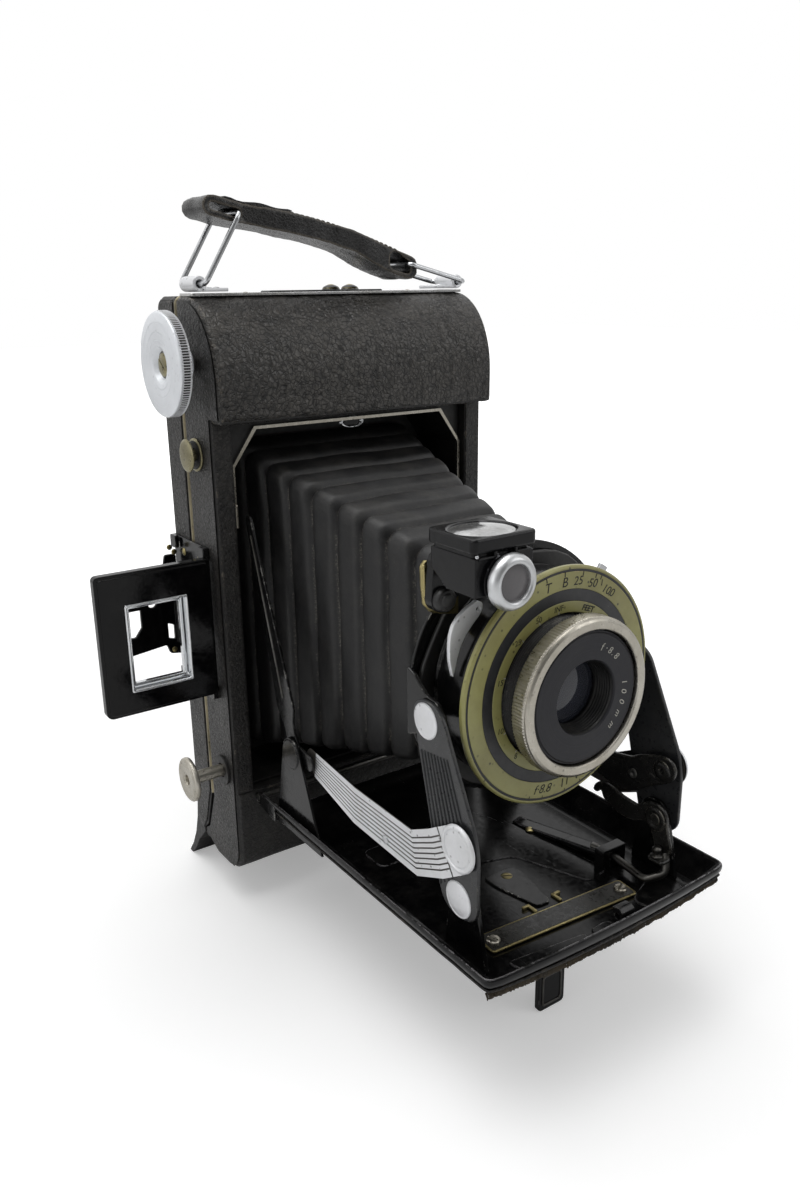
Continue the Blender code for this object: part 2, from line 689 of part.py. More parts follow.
def make_back():
    fin = [(BACK_Y, 22), (BACK_Y + 1.2, 15), (15.6, 9), (18.4, 4), (FOOT_TIP_Y, 0), (FOOT_TIP_Y - 2.0, 0),
           (16.6, 3.0), (13.6, 7.4), (8.6, 12.2)]
    hinge_side = arc(*BACK_HINGE, BACK_PIN_R + GAP, 0, 90, 3)
    outline = [(SEAM, TOP_Z), (SEAM, 28.5), (5.6, 16.6)] + hinge_side[::-1] + fin[::-1] + rounded_top()
    mesh = soften_sides(flat_mesh("YZ", outline, 0, 2 * BODY_HALF), SEAM, BACK_Y, 21)
    cover = add_part("back_cover", mesh, "leather")
    inside = [(-5, TOP_Z - WALL), (-5, 17), (5, 17), (9, 16.5), (BACK_Y - WALL, 20),
              (BACK_Y - WALL, TOP_Z - 3),
              (BACK_Y - WALL - 2, TOP_Z - WALL)]
    cut(cover, flat_mesh("YZ", inside, 0, 2 * (BODY_HALF - WALL)))
    room = BODY_HALF - 1.3
    cut(cover, cylinder_mesh("X", (-room, *SUPPLY), SPOOL_R + 0.6, 2 * room, 32))
    window_r = 5.6
    cut(cover, cylinder_mesh("Y", (0, BACK_Y - 4, WINDOW_CENTRE_Z), window_r, 8))
    cut(cover, cylinder_mesh("X", (-60, *BACK_HINGE), BACK_PIN_R + RUN, 120, 16))
    for side in (-1, 1):
        room = hull([(*BACK_HINGE, 1.5 + GAP), (0, 20.0, 1.0), (0, 12, 0)], 16)
        cut(cover, flat_mesh("YZ", room, side * (BODY_HALF - LUG_T / 2 + 1), LUG_T + 2 + 2 * GAP))
    glass = pin("red_window", "red_glass", "Y", (0, BACK_Y - WALL + 0.1, WINDOW_CENTRE_Z),
                window_r - GAP, 0.8, steps=24)
    slide = add_part("window_shutter", flat_mesh(
        "XZ", box_outline(-7.5, 7.5, WINDOW_CENTRE_Z - 7.5, WINDOW_CENTRE_Z + 7.5, 3),
        BACK_Y + GAP + 0.4, 0.8), "nickel")
    join(slide, cylinder_mesh("Y", (0, BACK_Y + 0.6, WINDOW_CENTRE_Z + 4), 1.6, 2.2, 16))
    plate = add_part("pressure_plate", flat_mesh("XZ", box_outline(-32, 32, 38, 126, 3), 8.7, 0.8,
                     [circle(0, WINDOW_CENTRE_Z, 6.0)]), "black_metal")
    y0 = 9.1 + GAP
    leaf = [(y0, 70), (y0, 76), (10.5, 88), (10.5, 94), (y0, 106), (y0, 112), (y0 + 0.4, 112),
            (y0 + 0.5, 106.3), (11.0, 94.2), (11.0, 87.8), (y0 + 0.5, 75.7), (y0 + 0.4, 70)]
    spring = add_part("pressure_spring", flat_mesh("YZ", leaf, 0, 12), "steel")
    top = TOP_Z + GAP
    latch = add_part("back_latch", box_mesh((-14, 21), (2.6, 8.4), (top, top + 1.1), 0.3, 1), "black_enamel")
    for x in (6.0, 12.0):
        join(latch, turned_mesh("Z", (x, 5.5, top + 0.9),
                                [(0, 1.5), (1.2, 1.35), (2.1, 0.9), (2.5, 0.2), (2.5, 0), (0, 0)], 20))
    hang("back_hinge_axis", (0, *BACK_HINGE), cover, glass, plate, spring)
    hang("window_slide_axis", (0, BACK_Y, WINDOW_CENTRE_Z), slide)
    hang("latch_slide_axis", (0, 5.5, top), latch)


def rounded_top():
    return [(BACK_Y, TOP_Z - 3.0)] + arc(BACK_Y - 3.0, TOP_Z - 3.0, 3.0, 0, 90, 4)[1:]


# ---------------------------------------------------------------- handle
def make_handle():
    top = TOP_Z + GAP
    plate_t = 0.7
    add_part("top_plate", box_mesh((-BODY_HALF + 0.6, BODY_HALF - 0.6), (-8.0, -0.3),
                                   (top, top + plate_t), 0.2, 1), "chrome")
    base_z = top + plate_t + GAP
    clip_r = CLIP_Z - base_z
    bars = {-1: (-CLIP_X + BAIL_LEN * cos(radians(BAIL_LEFT_DEG)),
                 CLIP_Z + BAIL_LEN * sin(radians(BAIL_LEFT_DEG))),
            1: (CLIP_X - BAIL_LEN * cos(radians(BAIL_RIGHT_DEG)),
                CLIP_Z + BAIL_LEN * sin(radians(BAIL_RIGHT_DEG)))}
    bails = {}
    for side in (-1, 1):
        x = side * CLIP_X
        tab_t = 0.9
        first = -degrees(atan2(clip_r - tab_t, (clip_r ** 2 - (clip_r - tab_t) ** 2) ** 0.5))
        roll = [(x - side * (u - x), v) for u, v in arc(x, CLIP_Z, clip_r, first, 270, 18)]
        rolled = [(x - side * 7.5, base_z), (x - side * 7.5, base_z + tab_t)] + roll
        clip = add_part(side_name("handle_clip", side), flat_mesh(
            "XZ", rolled, HANDLE_Y, 8.0, [circle(x, CLIP_Z, BAIL_R + RUN, 16)]), "chrome")
        bar_x, bar_z = bars[side]
        half = STRAP_W / 2 + GAP + BAIL_R + 0.3
        corners = [(x, HANDLE_Y - half, CLIP_Z), (x, HANDLE_Y + half, CLIP_Z),
                   (bar_x, HANDLE_Y + half, bar_z), (bar_x, HANDLE_Y - half, bar_z)]
        bails[side] = wire(side_name("handle_bail", side), "chrome",
                           rounded_path(corners, 1.6, 3, cyclic=True), BAIL_R, cyclic=True)
        hang(side_name("bail_axis", side), (x, HANDLE_Y, CLIP_Z), bails[side])
    left, right = Vector(bars[-1]), Vector(bars[1])
    run = right - left
    span = run.length
    run.normalize()
    up = Vector((-run.y, run.x))
    arch = 1.8
    half_t = STRAP_T / 2
    start, end = -6.6, span + 0.8
    count = 12
    line = [start + (end - start) * i / count for i in range(count + 1)]
    path = [tuple(left + run * s + up * arch * sin(pi * min(max(s / span, 0), 1))) for s in line]
    outline = strip(path, [half_t] * len(path), 6)
    slot_r = BAIL_R + RUN + 0.05
    left_slot = hull([(*left, slot_r), (*(left - run * 6.4), slot_r - 0.1)], 12)
    right_slot = hull([(*right, slot_r), (*(right - run * 4.2 + up * 0.5), slot_r + 0.7)], 12)
    strap = add_part("strap", flat_mesh("XZ", outline, HANDLE_Y, STRAP_W, [left_slot, right_slot]),
                     "leather")
    hang("strap_axis", (left.x, HANDLE_Y, left.y), strap)


# ---------------------------------------------------------------- bed
def bed_outline(inset):
    half = BED_HALF - inset
    front = BED_CORNER_Y + inset
    bow = [(x, front - BED_BOW * (1 - (x / half) ** 2)) for x in
           [half * t / 4 for t in range(-4, 5)]]
    rear = BED_REAR_Y if inset == 0 else BED_REAR_Y + 6
    return [(half, rear), (-half, rear)] + bow


LEG_Y = -94.0
LEG_TOP_Z = 22.8


def make_bed():
    mesh = flat_mesh("XY", bed_outline(0), (BED_UNDER_Z + BED_RIM_Z) / 2, BED_RIM_Z - BED_UNDER_Z)
    work = bmesh.new()
    work.from_mesh(mesh)
    low = [e for e in work.edges if all(abs(v.co.z - BED_UNDER_Z * MM) < 1e-6 for v in e.verts)
           and e.calc_face_angle(0) > 1 and min(v.co.y for v in e.verts) < (BED_REAR_Y - 1) * MM]
    bmesh.ops.bevel(work, geom=low, offset=BED_SLOPE * MM, segments=3, profile=0.5,
                    affect="EDGES", material=-1)
    work.to_mesh(mesh)
    work.free()
    bed = add_part("bed", mesh, "black_enamel")
    depth = BED_RIM_Z + 5 - BED_FLOOR_Z
    cut(bed, flat_mesh("XY", bed_outline(BED_WALL), BED_FLOOR_Z + depth / 2, depth))
    knuckle = hull([(*HINGE, 1.6), (-25, 32.0, 2.6)], 16)
    for side in (-1, 1):
        middle = side * (BED_HALF - BED_WALL / 2)
        join(bed, flat_mesh("YZ", knuckle, middle, BED_WALL))
        cut(bed, cylinder_mesh("X", (middle - 2, *HINGE), 0.9 + RUN, 4, 16))
    pin("bed_hinge_pin", "steel", "X", (-WELL_HALF + GAP, *HINGE), 0.9, 2 * (WELL_HALF - GAP))
    floor = BED_FLOOR_Z + GAP
    rod_z = floor + 1.9
    rod_path = [(31.0, -52.0, rod_z), (22.3, -90.5, rod_z), (20.6, -103.0, rod_z),
                (25.4, -105.0, rod_z + 1.0),
                (26.6, -103.4, 36.0)]
    rod = wire("bed_rod", "steel", rounded_path(rod_path, 2.2, 3), 0.9)
    holder = box_mesh((18.6, 26.0), (-91.6, -89.0), (BED_FLOOR_Z - 0.5, rod_z + 1.9), 0.3, 1)
    join(bed, holder)
    cut(bed, cylinder_mesh("-Y", (22.4, -80, rod_z), 0.9 + RUN + 0.15, 20, 16))
    join(bed, box_mesh((5.6, 9.6), (-109.4, -106.6), (BED_FLOOR_Z - 0.5, BED_FLOOR_Z + 3.6), 0.4, 1))
    for side in (-1, 1):
        bracket = hull([(*ARM_LOW, 5.0), (-105.5, BED_FLOOR_Z - 0.4, 0), (-91.5, BED_FLOOR_Z - 0.4, 0)])
        join(bed, flat_mesh("YZ", bracket, side * (YOKE_X + YOKE_T / 2), YOKE_T,
                            [circle(*ARM_LOW, 1.5 + RUN, 16)]))
    for x in (-5.2, 5.2):
        lug = hull([(LEG_Y, LEG_TOP_Z, 1.6), (LEG_Y - 1.8, 26.4, 0), (LEG_Y + 1.8, 26.4, 0)], 12)
        join(bed, flat_mesh("YZ", lug, x, 1.6))
    join(bed, cylinder_mesh("X", (-5.6, LEG_Y, LEG_TOP_Z), 0.8, 11.2, 16))
    leg = add_part("bed_leg", flat_mesh("XZ", box_outline(-4.1, 4.1, 0.0, LEG_TOP_Z + 1.0, 1.0, 2),
                                        LEG_Y, 1.4), "black_enamel")
    join(leg, cylinder_mesh("X", (-4.1, LEG_Y, LEG_TOP_Z), 1.9, 8.2, 16))
    cut(leg, cylinder_mesh("X", (-8, LEG_Y, LEG_TOP_Z), 0.8 + RUN, 16, 16))
    hang("bed_axis", (0, *HINGE), bed, rod)
    hang("leg_axis", (0, LEG_Y, LEG_TOP_Z), leg)


# ---------------------------------------------------------------- fold linkage
RIB_SHARES = (-0.72, -0.36, 0.0, 0.36, 0.72)


def make_linkage(side):
    arm_out = rounded([(-103.8, 39.6), (-92.6, 39.0), (-81.6, 82.8), (-90.8, 84.2), (-103.8, 58.0)], 4.2, 4)
    arm = side_plate("arm", "black_enamel", side, ARM_X, ARM_T, arm_out,
                     [circle(*LINK_FRONT, 1.5 + RUN, 16)])
    grooves = bands([(-94.3, 63.0), (-90.3, 73.0)], [6.4, 5.6], RIB_SHARES, 0.4)
    cut(arm, flat_mesh("YZ", grooves[0], side * (ARM_X + ARM_T), 0.6, grooves[1:]))
    for pivot, r in ((ARM_LOW, 1.5), (ARM_TOP, 1.4)):
        join(arm, pivot_mesh(side, pivot, YOKE_X - 0.2, r, ARM_X + 0.4, r, ARM_X + 0.2))
    crank = (EAR_PIVOT[0] - CRANK_R, EAR_PIVOT[1])
    link_out = strip([LINK_FRONT, (-88.6, 50.4), LINK_BEND, (-60, 48.4), crank],
                     [6.2, 5.4, 5.2, 4.8, 3.4])
    link = side_plate("link", "chrome", side, LINK_X, LINK_T, link_out)
    start = along(LINK_FRONT, (-88.6, 50.4), 6.4)
    end = along((-60, 48.4), crank, 12.0)
    raised = bands([start, (-88.6, 50.4), LINK_BEND, (-60, 48.4), end], [5.5, 5.4, 5.2, 4.8, 4.0],
                   RIB_SHARES, 0.35)
    join(link, flat_mesh("YZ", raised[0], side * (LINK_X + LINK_T + 0.1), 0.4, raised[1:]))
    join(link, pivot_mesh(side, LINK_FRONT, ARM_X - 0.2, 1.5, LINK_X + 0.2, 5.0, LINK_X + LINK_T + 0.5))
    reach = hypot(STRUT_TOP[0] - EAR_PIVOT[0], STRUT_TOP[1] - EAR_PIVOT[1])
    blade = [along(EAR_PIVOT, STRUT_TOP, d) for d in (0, 5.0, 8.0, 11.5, 48.0, reach)]
    strut_out = strip(blade, [3.6, 2.3, 2.6, 4.4, 1.9, 1.5])
    strut = side_plate("strut", "black_enamel", side, STRUT_X, STRUT_T, strut_out)
    join(strut, flat_mesh("YZ", hull([(*EAR_PIVOT, 3.0), (*crank, 2.2)]),
                          side * (STRUT_X + STRUT_T / 2), STRUT_T))
    cut(strut, cylinder_mesh("X", (side * STRUT_X - 3, *EAR_PIVOT), 1.4 + RUN, 6, 16))
    foot = BED_FLOOR_Z + GAP
    ear_out = hull([(*EAR_PIVOT, 4.3), (-47.5, foot, 0), (-24.5, foot, 0)])
    ear = side_plate("ear", "black_enamel", side, EAR_X, EAR_T, ear_out)
    join(ear, pivot_mesh(side, EAR_PIVOT, STRUT_X - 0.2, 1.4, EAR_X + 0.2, 3.9, EAR_X + EAR_T + 0.3))
    hang(side_name("arm_axis", side), (0, *ARM_LOW), arm)
    hang(side_name("link_axis", side), (0, *LINK_FRONT), link)
    hang(side_name("strut_axis", side), (0, *EAR_PIVOT), strut)
    hang(side_name("bed_side_axis", side), (0, *HINGE), ear)


def pivot_mesh(side, pivot, inner, shaft_r, head_x, head_r, outer):
    """Riveted pivot: shaft from inner to head_x, head from there to outer, distances from the lens plane."""
    length, head = outer - inner, head_x - inner
    profile = [(0, length), (head_r - 0.2, length), (head_r, length - 0.2), (head_r, head)]
    if head_r > shaft_r:
        profile.append((shaft_r, head))
    else:
        profile[1:] = [(shaft_r, length)]
    profile += [(shaft_r, 0), (0, 0)]
    return turned_mesh("X" if side > 0 else "-X", (side * inner, *pivot), profile, 20)


def make_lock():
    """Locking levers inside the right arm."""
    lever_pivot = (-97.2, 52.8)
    lever = side_plate("lock_lever", "black_enamel", 1, LEVER_X, LEVER_T,
                       strip([lever_pivot, (-91.3, 51.8), (-85.0, 50.4), (-80.6, 52.6)],
                             [3.6, 3.4, 2.2, 1.5]))
    join(lever, cylinder_mesh("X", (LEVER_X + 0.4, *lever_pivot), 1.2, ARM_X - GAP - LEVER_X - 0.4, 16))
    latch = side_plate("bed_latch", "black_metal", 1, LATCH_X, LATCH_T,
                       strip([(-99.4, 31.6), (-99.0, 36.4), ARM_LOW, (-90.6, 42.8), (-84.6, 45.6)],
                             [2.0, 2.2, 3.4, 2.2, 1.5]))
    join(latch, cylinder_mesh("X", (LATCH_X + 0.4, *ARM_LOW), 1.3, YOKE_X - 0.2 - GAP - LATCH_X - 0.4, 16))
    hang("lock_lever_axis", (LEVER_X, *lever_pivot), lever)
    hang("bed_latch_axis", (LATCH_X, *ARM_LOW), latch)


# ---------------------------------------------------------------- lens standard and shutter
BELLOWS_FOLDS = 10
BELLOWS_REAR = (29.4, 39.2, 126.6)    # half width, bottom and top of the sleeve at the gate
BELLOWS_FRONT = (12.4, 58.8, 104.8)   # the same at the yoke
BELLOWS_FOLD_DEPTH = 1.9
BELLOWS_WALL = 0.5


def make_standard():
    outer = YOKE_X + YOKE_T
    sides = [(side * outer, ARM_TOP[1] + lift, 0) for side in (-1, 1)
             for lift in (-YOKE_EAR_HALF, YOKE_EAR_HALF)]
    plate = hull([(0, LENS_Z, outer)] + sides, 48)
    yoke = add_part("lens_yoke", flat_mesh("XZ", plate, YOKE_Y + YOKE_PLATE_T / 2, YOKE_PLATE_T,
                                           [circle(0, LENS_Z, YOKE_HOLE_R, 32)]), "black_enamel")
    ear = hull([(*ARM_TOP, 5.0), (YOKE_Y + 0.4, ARM_TOP[1] + YOKE_EAR_HALF, 0),
                (YOKE_Y + 0.4, ARM_TOP[1] - YOKE_EAR_HALF, 0)])
    for side in (-1, 1):
        join(yoke, flat_mesh("YZ", ear, side * (YOKE_X + YOKE_T / 2 - 0.05), YOKE_T - 0.1,
                             [circle(*ARM_TOP, 1.4 + RUN, 16)]))
    waves = [(0 + (BOARD_R + 0.6 * cos(6 * a)) * cos(a), LENS_Z + (BOARD_R + 0.6 * cos(6 * a)) * sin(a))
             for a in steps_of_turn(48)]
    board = add_part("lens_board", flat_mesh("XZ", waves, BOARD_Y + BOARD_T / 2, BOARD_T,
                                             [circle(0, LENS_Z, 16.0, 32)]), "black_enamel")
    depth = DRUM_REAR_Y - DRUM_FRONT_Y
    drum = turned("shutter_housing", "black_enamel", "-Y", (0, DRUM_REAR_Y, LENS_Z),
                  [(16.4, depth), (DRUM_R, depth), (DRUM_R, 0), (10.0, 0), (10.0, 1.2),
                   (DRUM_R - 1.2, 1.2), (DRUM_R - 1.2, depth - 1.0), (16.4, depth - 1.0)],
                  closed=True, steps=40)
    face = turned("scale_plate", "olive_gold", "-Y", (0, FACE_Y + FACE_T, LENS_Z),
                  [(FACE_HOLE_R, FACE_T), (FACE_R - 0.8, FACE_T), (FACE_R, FACE_T - 0.7), (FACE_R, 0),
                   (FACE_HOLE_R, 0)], closed=True, steps=48)
    barrel = turned("lens_barrel", "black_metal", "-Y", (0, BARREL_REAR_Y, LENS_Z),
                    ring_profile(BARREL_R, BARREL_R - 0.9, BARREL_LEN, 0), closed=True, steps=40)
    iris = turned("iris_diaphragm", "black_metal", "-Y", (0, IRIS_Y, LENS_Z),
                  ring_profile(BARREL_R - 1.5, 4.6, 0.5, 0), closed=True, steps=24)
    blades = turned("shutter_blades", "steel", "-Y", (0, BLADES_Y, LENS_Z),
                    [(0, 0.4), (BARREL_R - 1.5, 0.4), (BARREL_R - 1.5, 0), (0, 0)], steps=24)
    rear_lens = turned("rear_lens", "glass", "-Y", (0, -80.4, LENS_Z),
                       [(0, 1.0), (7.6, 0.6), (9.4, 0.6), (9.4, -0.6), (7.6, -0.6), (0, -1.6)], steps=24)
    make_focus_cell()
    make_shutter_levers()
    bellows = make_bellows()
    hang("standard_axis", (0, *ARM_TOP), yoke, board, drum, face, barrel, iris, blades, rear_lens, bellows)


def make_focus_cell():
    ring = fluted("focus_ring", "nickel", "-Y", (0, RING_FRONT_Y + RING_T, LENS_Z),
                  [(15.0, RING_T - 0.8, 0), (15.8, RING_T, 0), (RING_R - 0.4, RING_T, 0),
                   (RING_R, RING_T - 0.4, 1), (RING_R, 0.4, 1), (RING_R - 0.4, 0, 0), (15.0, 0, 0)], 40, 0.4)
    cell_r = 14.7
    well_r = 8.0
    cell = turned("lens_cell", "black_enamel", "-Y", (0, LENS_FRONT_Y + 8.0, LENS_Z),
                  [(well_r, 7.4), (well_r + 0.6, 8.0), (cell_r, 8.0), (cell_r, 3.0), (well_r + 1.6, 0),
                   (6.6, 0), (6.6, 1.0), (well_r, 1.0)], closed=True, steps=40)
    glass = turned("front_lens", "glass", "-Y", (0, LENS_FRONT_Y + 6.6, LENS_Z),
                   [(0, 2.2), (4.0, 1.8), (7.6, 0.6), (7.6, 0.0), (0, 0.0)], steps=28)
    hang("focus_axis", (0, RING_FRONT_Y, LENS_Z), ring, cell, glass)


def polar(radius, angle):
    return (radius * cos(radians(angle)), LENS_Z + radius * sin(radians(angle)))


def ring_sector(inner, outer, start, end, steps=6):
    return arc(0, LENS_Z, outer, start, end, steps) + arc(0, LENS_Z, inner, end, start, steps)


RELEASE_LEVER_Y = -87.6


def make_shutter_levers():
    """Three levers that ride round the drum: cocking and release crescent, speed tab, stop tab."""
    r = DRUM_R + RUN
    angles = [108 + 88 * i / 12 for i in range(13)]
    outer = [polar(r + 1.0 + 2.6 * sin(pi * i / 12), a) for i, a in enumerate(angles)]
    inner = [polar(r, a) for a in angles]
    crescent = add_part("release_lever", flat_mesh("XZ", outer + inner[::-1], RELEASE_LEVER_Y, 1.4), "chrome")
    hang("release_lever_axis", (0, RELEASE_LEVER_Y, LENS_Z), crescent)
    for name, angle, y in (("speed_lever", 58.0, -90.4), ("stop_lever", 262.0, -90.4)):
        band = ring_sector(r, r + 1.0, angle - 12, angle + 12, 4)
        lever = add_part(name, flat_mesh("XZ", band, y, 1.2), "chrome")
        join(lever, flat_mesh("XZ", ring_sector(r + 0.4, FACE_R + 1.4, angle - 2.4, angle + 2.4, 2), y, 0.8))
        hang(name + "_axis", (0, y, LENS_Z), lever)


def make_bellows():
    """Square-cornered folds between the gate and the lens yoke, as one closed sleeve wall."""
    front_y, rear_y = YOKE_Y + YOKE_PLATE_T + GAP, GATE_Y - GAP
    work = bmesh.new()
    rings = []
    count = BELLOWS_FOLDS * 2
    for skin in (0.0, BELLOWS_WALL):
        for i in range(count + 1):
            t = i / count
            y = rear_y + (front_y - rear_y) * t
            half_x, bottom, top = [a + (b - a) * t for a, b in zip(BELLOWS_REAR, BELLOWS_FRONT)]
            inset = skin + (BELLOWS_FOLD_DEPTH if i % 2 else 0.0)
            half_x, bottom, top = half_x - inset, bottom + inset, top - inset
            clip = 3.0
            section = [(-half_x + clip, bottom), (half_x - clip, bottom), (half_x, bottom + clip),
                       (half_x, top - clip), (half_x - clip, top), (-half_x + clip, top),
                       (-half_x, top - clip), (-half_x, bottom + clip)]
            rings.append([work.verts.new((x * MM, y * MM, z * MM)) for x, z in section])
    outer, inner = rings[:count + 1], rings[count + 1:]
    for skin in (outer, inner):
        for a, b in zip(skin, skin[1:]):
            bridge(work, a, b)
    bridge(work, outer[0], inner[0])
    bridge(work, outer[-1], inner[-1])
    bmesh.ops.recalc_face_normals(work, faces=work.faces)
    mesh = bpy.data.meshes.new("bellows")
    work.to_mesh(mesh)
    work.free()
    return add_part("bellows", mesh, "bellows_cloth", smooth=10)


# ---------------------------------------------------------------- finders
def make_waist_finder():
    x0, x1 = WAIST_X
    y0, y1 = WAIST_Y
    z0, z1 = WAIST_Z
    lid_z = z1 - LID_T
    side = [(y0, z0), (y0, lid_z - GAP), (y1, lid_z - GAP), (y1, z0 + 3.4), (y1 - 5, z0)]
    box = add_part("waist_finder_box", flat_mesh("YZ", side, (x0 + x1) / 2, x1 - x0 - 1.6), "black_enamel")
    ring_c = ((x0 + x1) / 2 + 1.0, z0 + 2.4)
    lid = add_part("waist_finder_lid", box_mesh((x0, x1), (y0 - 0.4, y1 + 0.4), (lid_z, z1), 0.5, 2),
                   "black_enamel")
    mid_x, mid_y = (x0 + x1) / 2, (y0 + y1) / 2
    eye = [(mid_x + 5.0 * cos(a), mid_y + 4.4 * sin(a)) for a in steps_of_turn(24)]
    cut(lid, flat_mesh("XY", eye, z1, 2.4))
    ring = turned("waist_lens_ring", "chrome", "-Y", (ring_c[0], y0 - 0.4 - GAP, ring_c[1]),
                  [(3.7, 2.3), (4.6, 2.9), (5.5, 2.6), (6.1, 1.6), (6.1, 0), (3.7, 0)], closed=True, steps=32)
    plate_y = BOARD_Y - GAP - 0.5
    px, pz = WAIST_PIVOT
    bracket = add_part("waist_bracket", flat_mesh("XZ", hull([(px, pz, 3.2), (px - 1.4, pz + 8, 1.4),
                       (px + 1.4, pz - 3.0, 2.0), (px + 5.0, pz - 5.0, 1.6)]), plate_y, 1.0,
                       [circle(px, pz, 1.3 + RUN, 16)]), "brass")
    arm_y = plate_y - 0.5 - GAP - 0.5
    arm = hull([(px, pz, 2.8), (x0 + 3, z0 + 4, 2.0), (x1 - 4, z0 + 4, 2.0)])
    join_y = (arm_y + y1) / 2
    join(box, flat_mesh("XZ", arm, join_y - 0.2, abs(y1 - arm_y) + 0.8))
    cut(box, cylinder_mesh("-Y", (px, -70, pz), 1.3 + RUN, 40, 16))
    knob = turned("waist_pivot_screw", "black_enamel", "-Y", (px, plate_y + 0.4, pz),
                  [(0, 5.9), (2.2, 5.9), (2.6, 5.5), (2.6, 4.6), (1.3, 4.6), (1.3, 0), (0, 0)], steps=20)
    hang("waist_axis", (px, y1, pz), box, lid, ring)
    hang("waist_mount_axis", (0, *ARM_TOP), bracket, knob)


def make_eye_finder():
    x0, x1 = FINDER_X
    z0, z1 = FINDER_Z
    front_y = FINDER_HINGE[1] - FINDER_T
    middle = (front_y + FINDER_HINGE[1]) / 2
    window = box_outline(*WINDOW_X, *WINDOW_Z, 0.6, 2)
    frame = add_part("finder_frame", flat_mesh("XZ", box_outline(x0, x1, z0, z1, 2.2, 3), middle, FINDER_T,
                                               [window]), "black_enamel")
    lining = box_outline(WINDOW_X[0] + GAP, WINDOW_X[1] - GAP, WINDOW_Z[0] + GAP, WINDOW_Z[1] - GAP, 0.6, 2)
    clear = box_outline(WINDOW_X[0] + 1.1, WINDOW_X[1] - 1.1, WINDOW_Z[0] + 1.1, WINDOW_Z[1] - 1.1, 0.5, 2)
    bezel = add_part("finder_bezel", flat_mesh("XZ", lining, middle - 0.2, FINDER_T + 0.4, [clear]), "chrome")
    hx, hy = FINDER_HINGE
    join(frame, cylinder_mesh("Z", (hx, hy, z0 - 2.4), 0.8, z1 - z0 + 4.8, 16))
    sx, sy = SIGHT_HINGE
    face = -BODY_HALF - GAP
    post = add_part("finder_hinge_post", box_mesh((face - 0.6, face), (-13.6, 11.6), (z0 - 2.4, z1 + 2.4)),
                    "black_enamel")
    for (px, py), r, low, high in ((FINDER_HINGE, 0.8, z0, z1), (SIGHT_HINGE, 0.7, *SIGHT_Z)):
        knuckle = hull([(px, py, r + RUN + 0.6), (face - 0.3, py - 1.6, 0), (face - 0.3, py + 1.6, 0)], 16)
        for z in (low - GAP - 0.9, high + GAP + 0.9):
            join(post, flat_mesh("XY", knuckle, z, 1.8, [circle(px, py, r + RUN, 16)]))
    openings = [box_outline(sx - 15.0, sx - 11.8, 79.5, 87.0, 0.4, 1),
                box_outline(sx - 3.4, sx - 1.4, 79.5, 85.5, 0.4, 1), circle(sx - 7.6, 84.0, 1.6, 16)]
    sight_mid = sy + 0.3 + SIGHT_T / 2
    sight = add_part("rear_sight", flat_mesh("XZ", box_outline(*SIGHT_X, *SIGHT_Z, 1.6, 2), sight_mid,
                                             SIGHT_T, openings), "black_enamel")
    low, high = SIGHT_Z
    join(sight, cylinder_mesh("Z", (sx, sy, low - 2.2), 0.7, high - low + 4.4, 16))
    hang("finder_axis", (hx, hy, (z0 + z1) / 2), frame, bezel)
    hang("rear_sight_axis", (sx, sy, (low + high) / 2), sight)


def main():
    start_scene()
    make_front_body()
    make_bellows_frame()
    make_winder(make_spools())
    make_side_controls()
    make_back()
    make_handle()
    make_bed()
    for side in (-1, 1):
        make_linkage(side)
    make_lock()
    make_standard()
    make_waist_finder()
    make_eye_finder()


main()
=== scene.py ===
# %% [markdown]
# # A self-erecting folding roll-film camera
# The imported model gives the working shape: every node of it already sits in its place, in metres, and moves
# with its own body. This lesson adds the looks around it: leather, cloth, enamel, plated metal and glass.
# X = 0 is the lens plane, Y = 0 is the seam between body and back, and the camera stands on Z = 0.

# %% Load the model
from math import atan2, cos, hypot, pi, radians, sin
import bmesh
import bpy
from mathutils import Matrix, Vector, noise


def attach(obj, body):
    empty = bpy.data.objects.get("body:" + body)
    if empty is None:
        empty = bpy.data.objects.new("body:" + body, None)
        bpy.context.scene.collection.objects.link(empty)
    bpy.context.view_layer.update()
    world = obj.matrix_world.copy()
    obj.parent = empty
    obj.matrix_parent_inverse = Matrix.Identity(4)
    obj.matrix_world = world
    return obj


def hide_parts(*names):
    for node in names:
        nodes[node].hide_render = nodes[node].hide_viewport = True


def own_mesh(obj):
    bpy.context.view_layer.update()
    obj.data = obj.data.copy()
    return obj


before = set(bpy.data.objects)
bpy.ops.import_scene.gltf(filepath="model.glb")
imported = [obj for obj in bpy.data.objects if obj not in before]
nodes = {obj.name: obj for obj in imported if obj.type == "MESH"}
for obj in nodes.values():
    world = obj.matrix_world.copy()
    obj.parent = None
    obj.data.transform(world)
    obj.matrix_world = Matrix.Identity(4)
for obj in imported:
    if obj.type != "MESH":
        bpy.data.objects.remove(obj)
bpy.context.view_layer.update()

MM = 0.001

# %% [markdown]
# ## Material tools
# A few short helpers build every shader: one adds a node, one feeds its inputs, and the others name the steps
# that come back often, such as a mix of two colours or a drift of noise over the object.

# %% Material tools
UP, FRONT, LEFT, RIGHT = (0, 0, 1), (0, -1, 0), (-1, 0, 0), (1, 0, 0)
ORIGIN = (0, 0, 0)
SIDES = ((-1, "left"), (1, "right"))
FINISH = {}


def feed(node, *values, **named):
    """Link or set the enabled inputs of a node, in order or by name, where _ stands for a space."""
    sockets = [s for s in node.inputs if s.enabled]
    pairs = list(zip(sockets, values))
    pairs += [(next(s for s in sockets if s.name == name.replace("_", " ")), v) for name, v in named.items()]
    for socket, value in pairs:
        if isinstance(value, bpy.types.NodeSocket):
            node.id_data.links.new(value, socket)
        else:
            socket.default_value = value


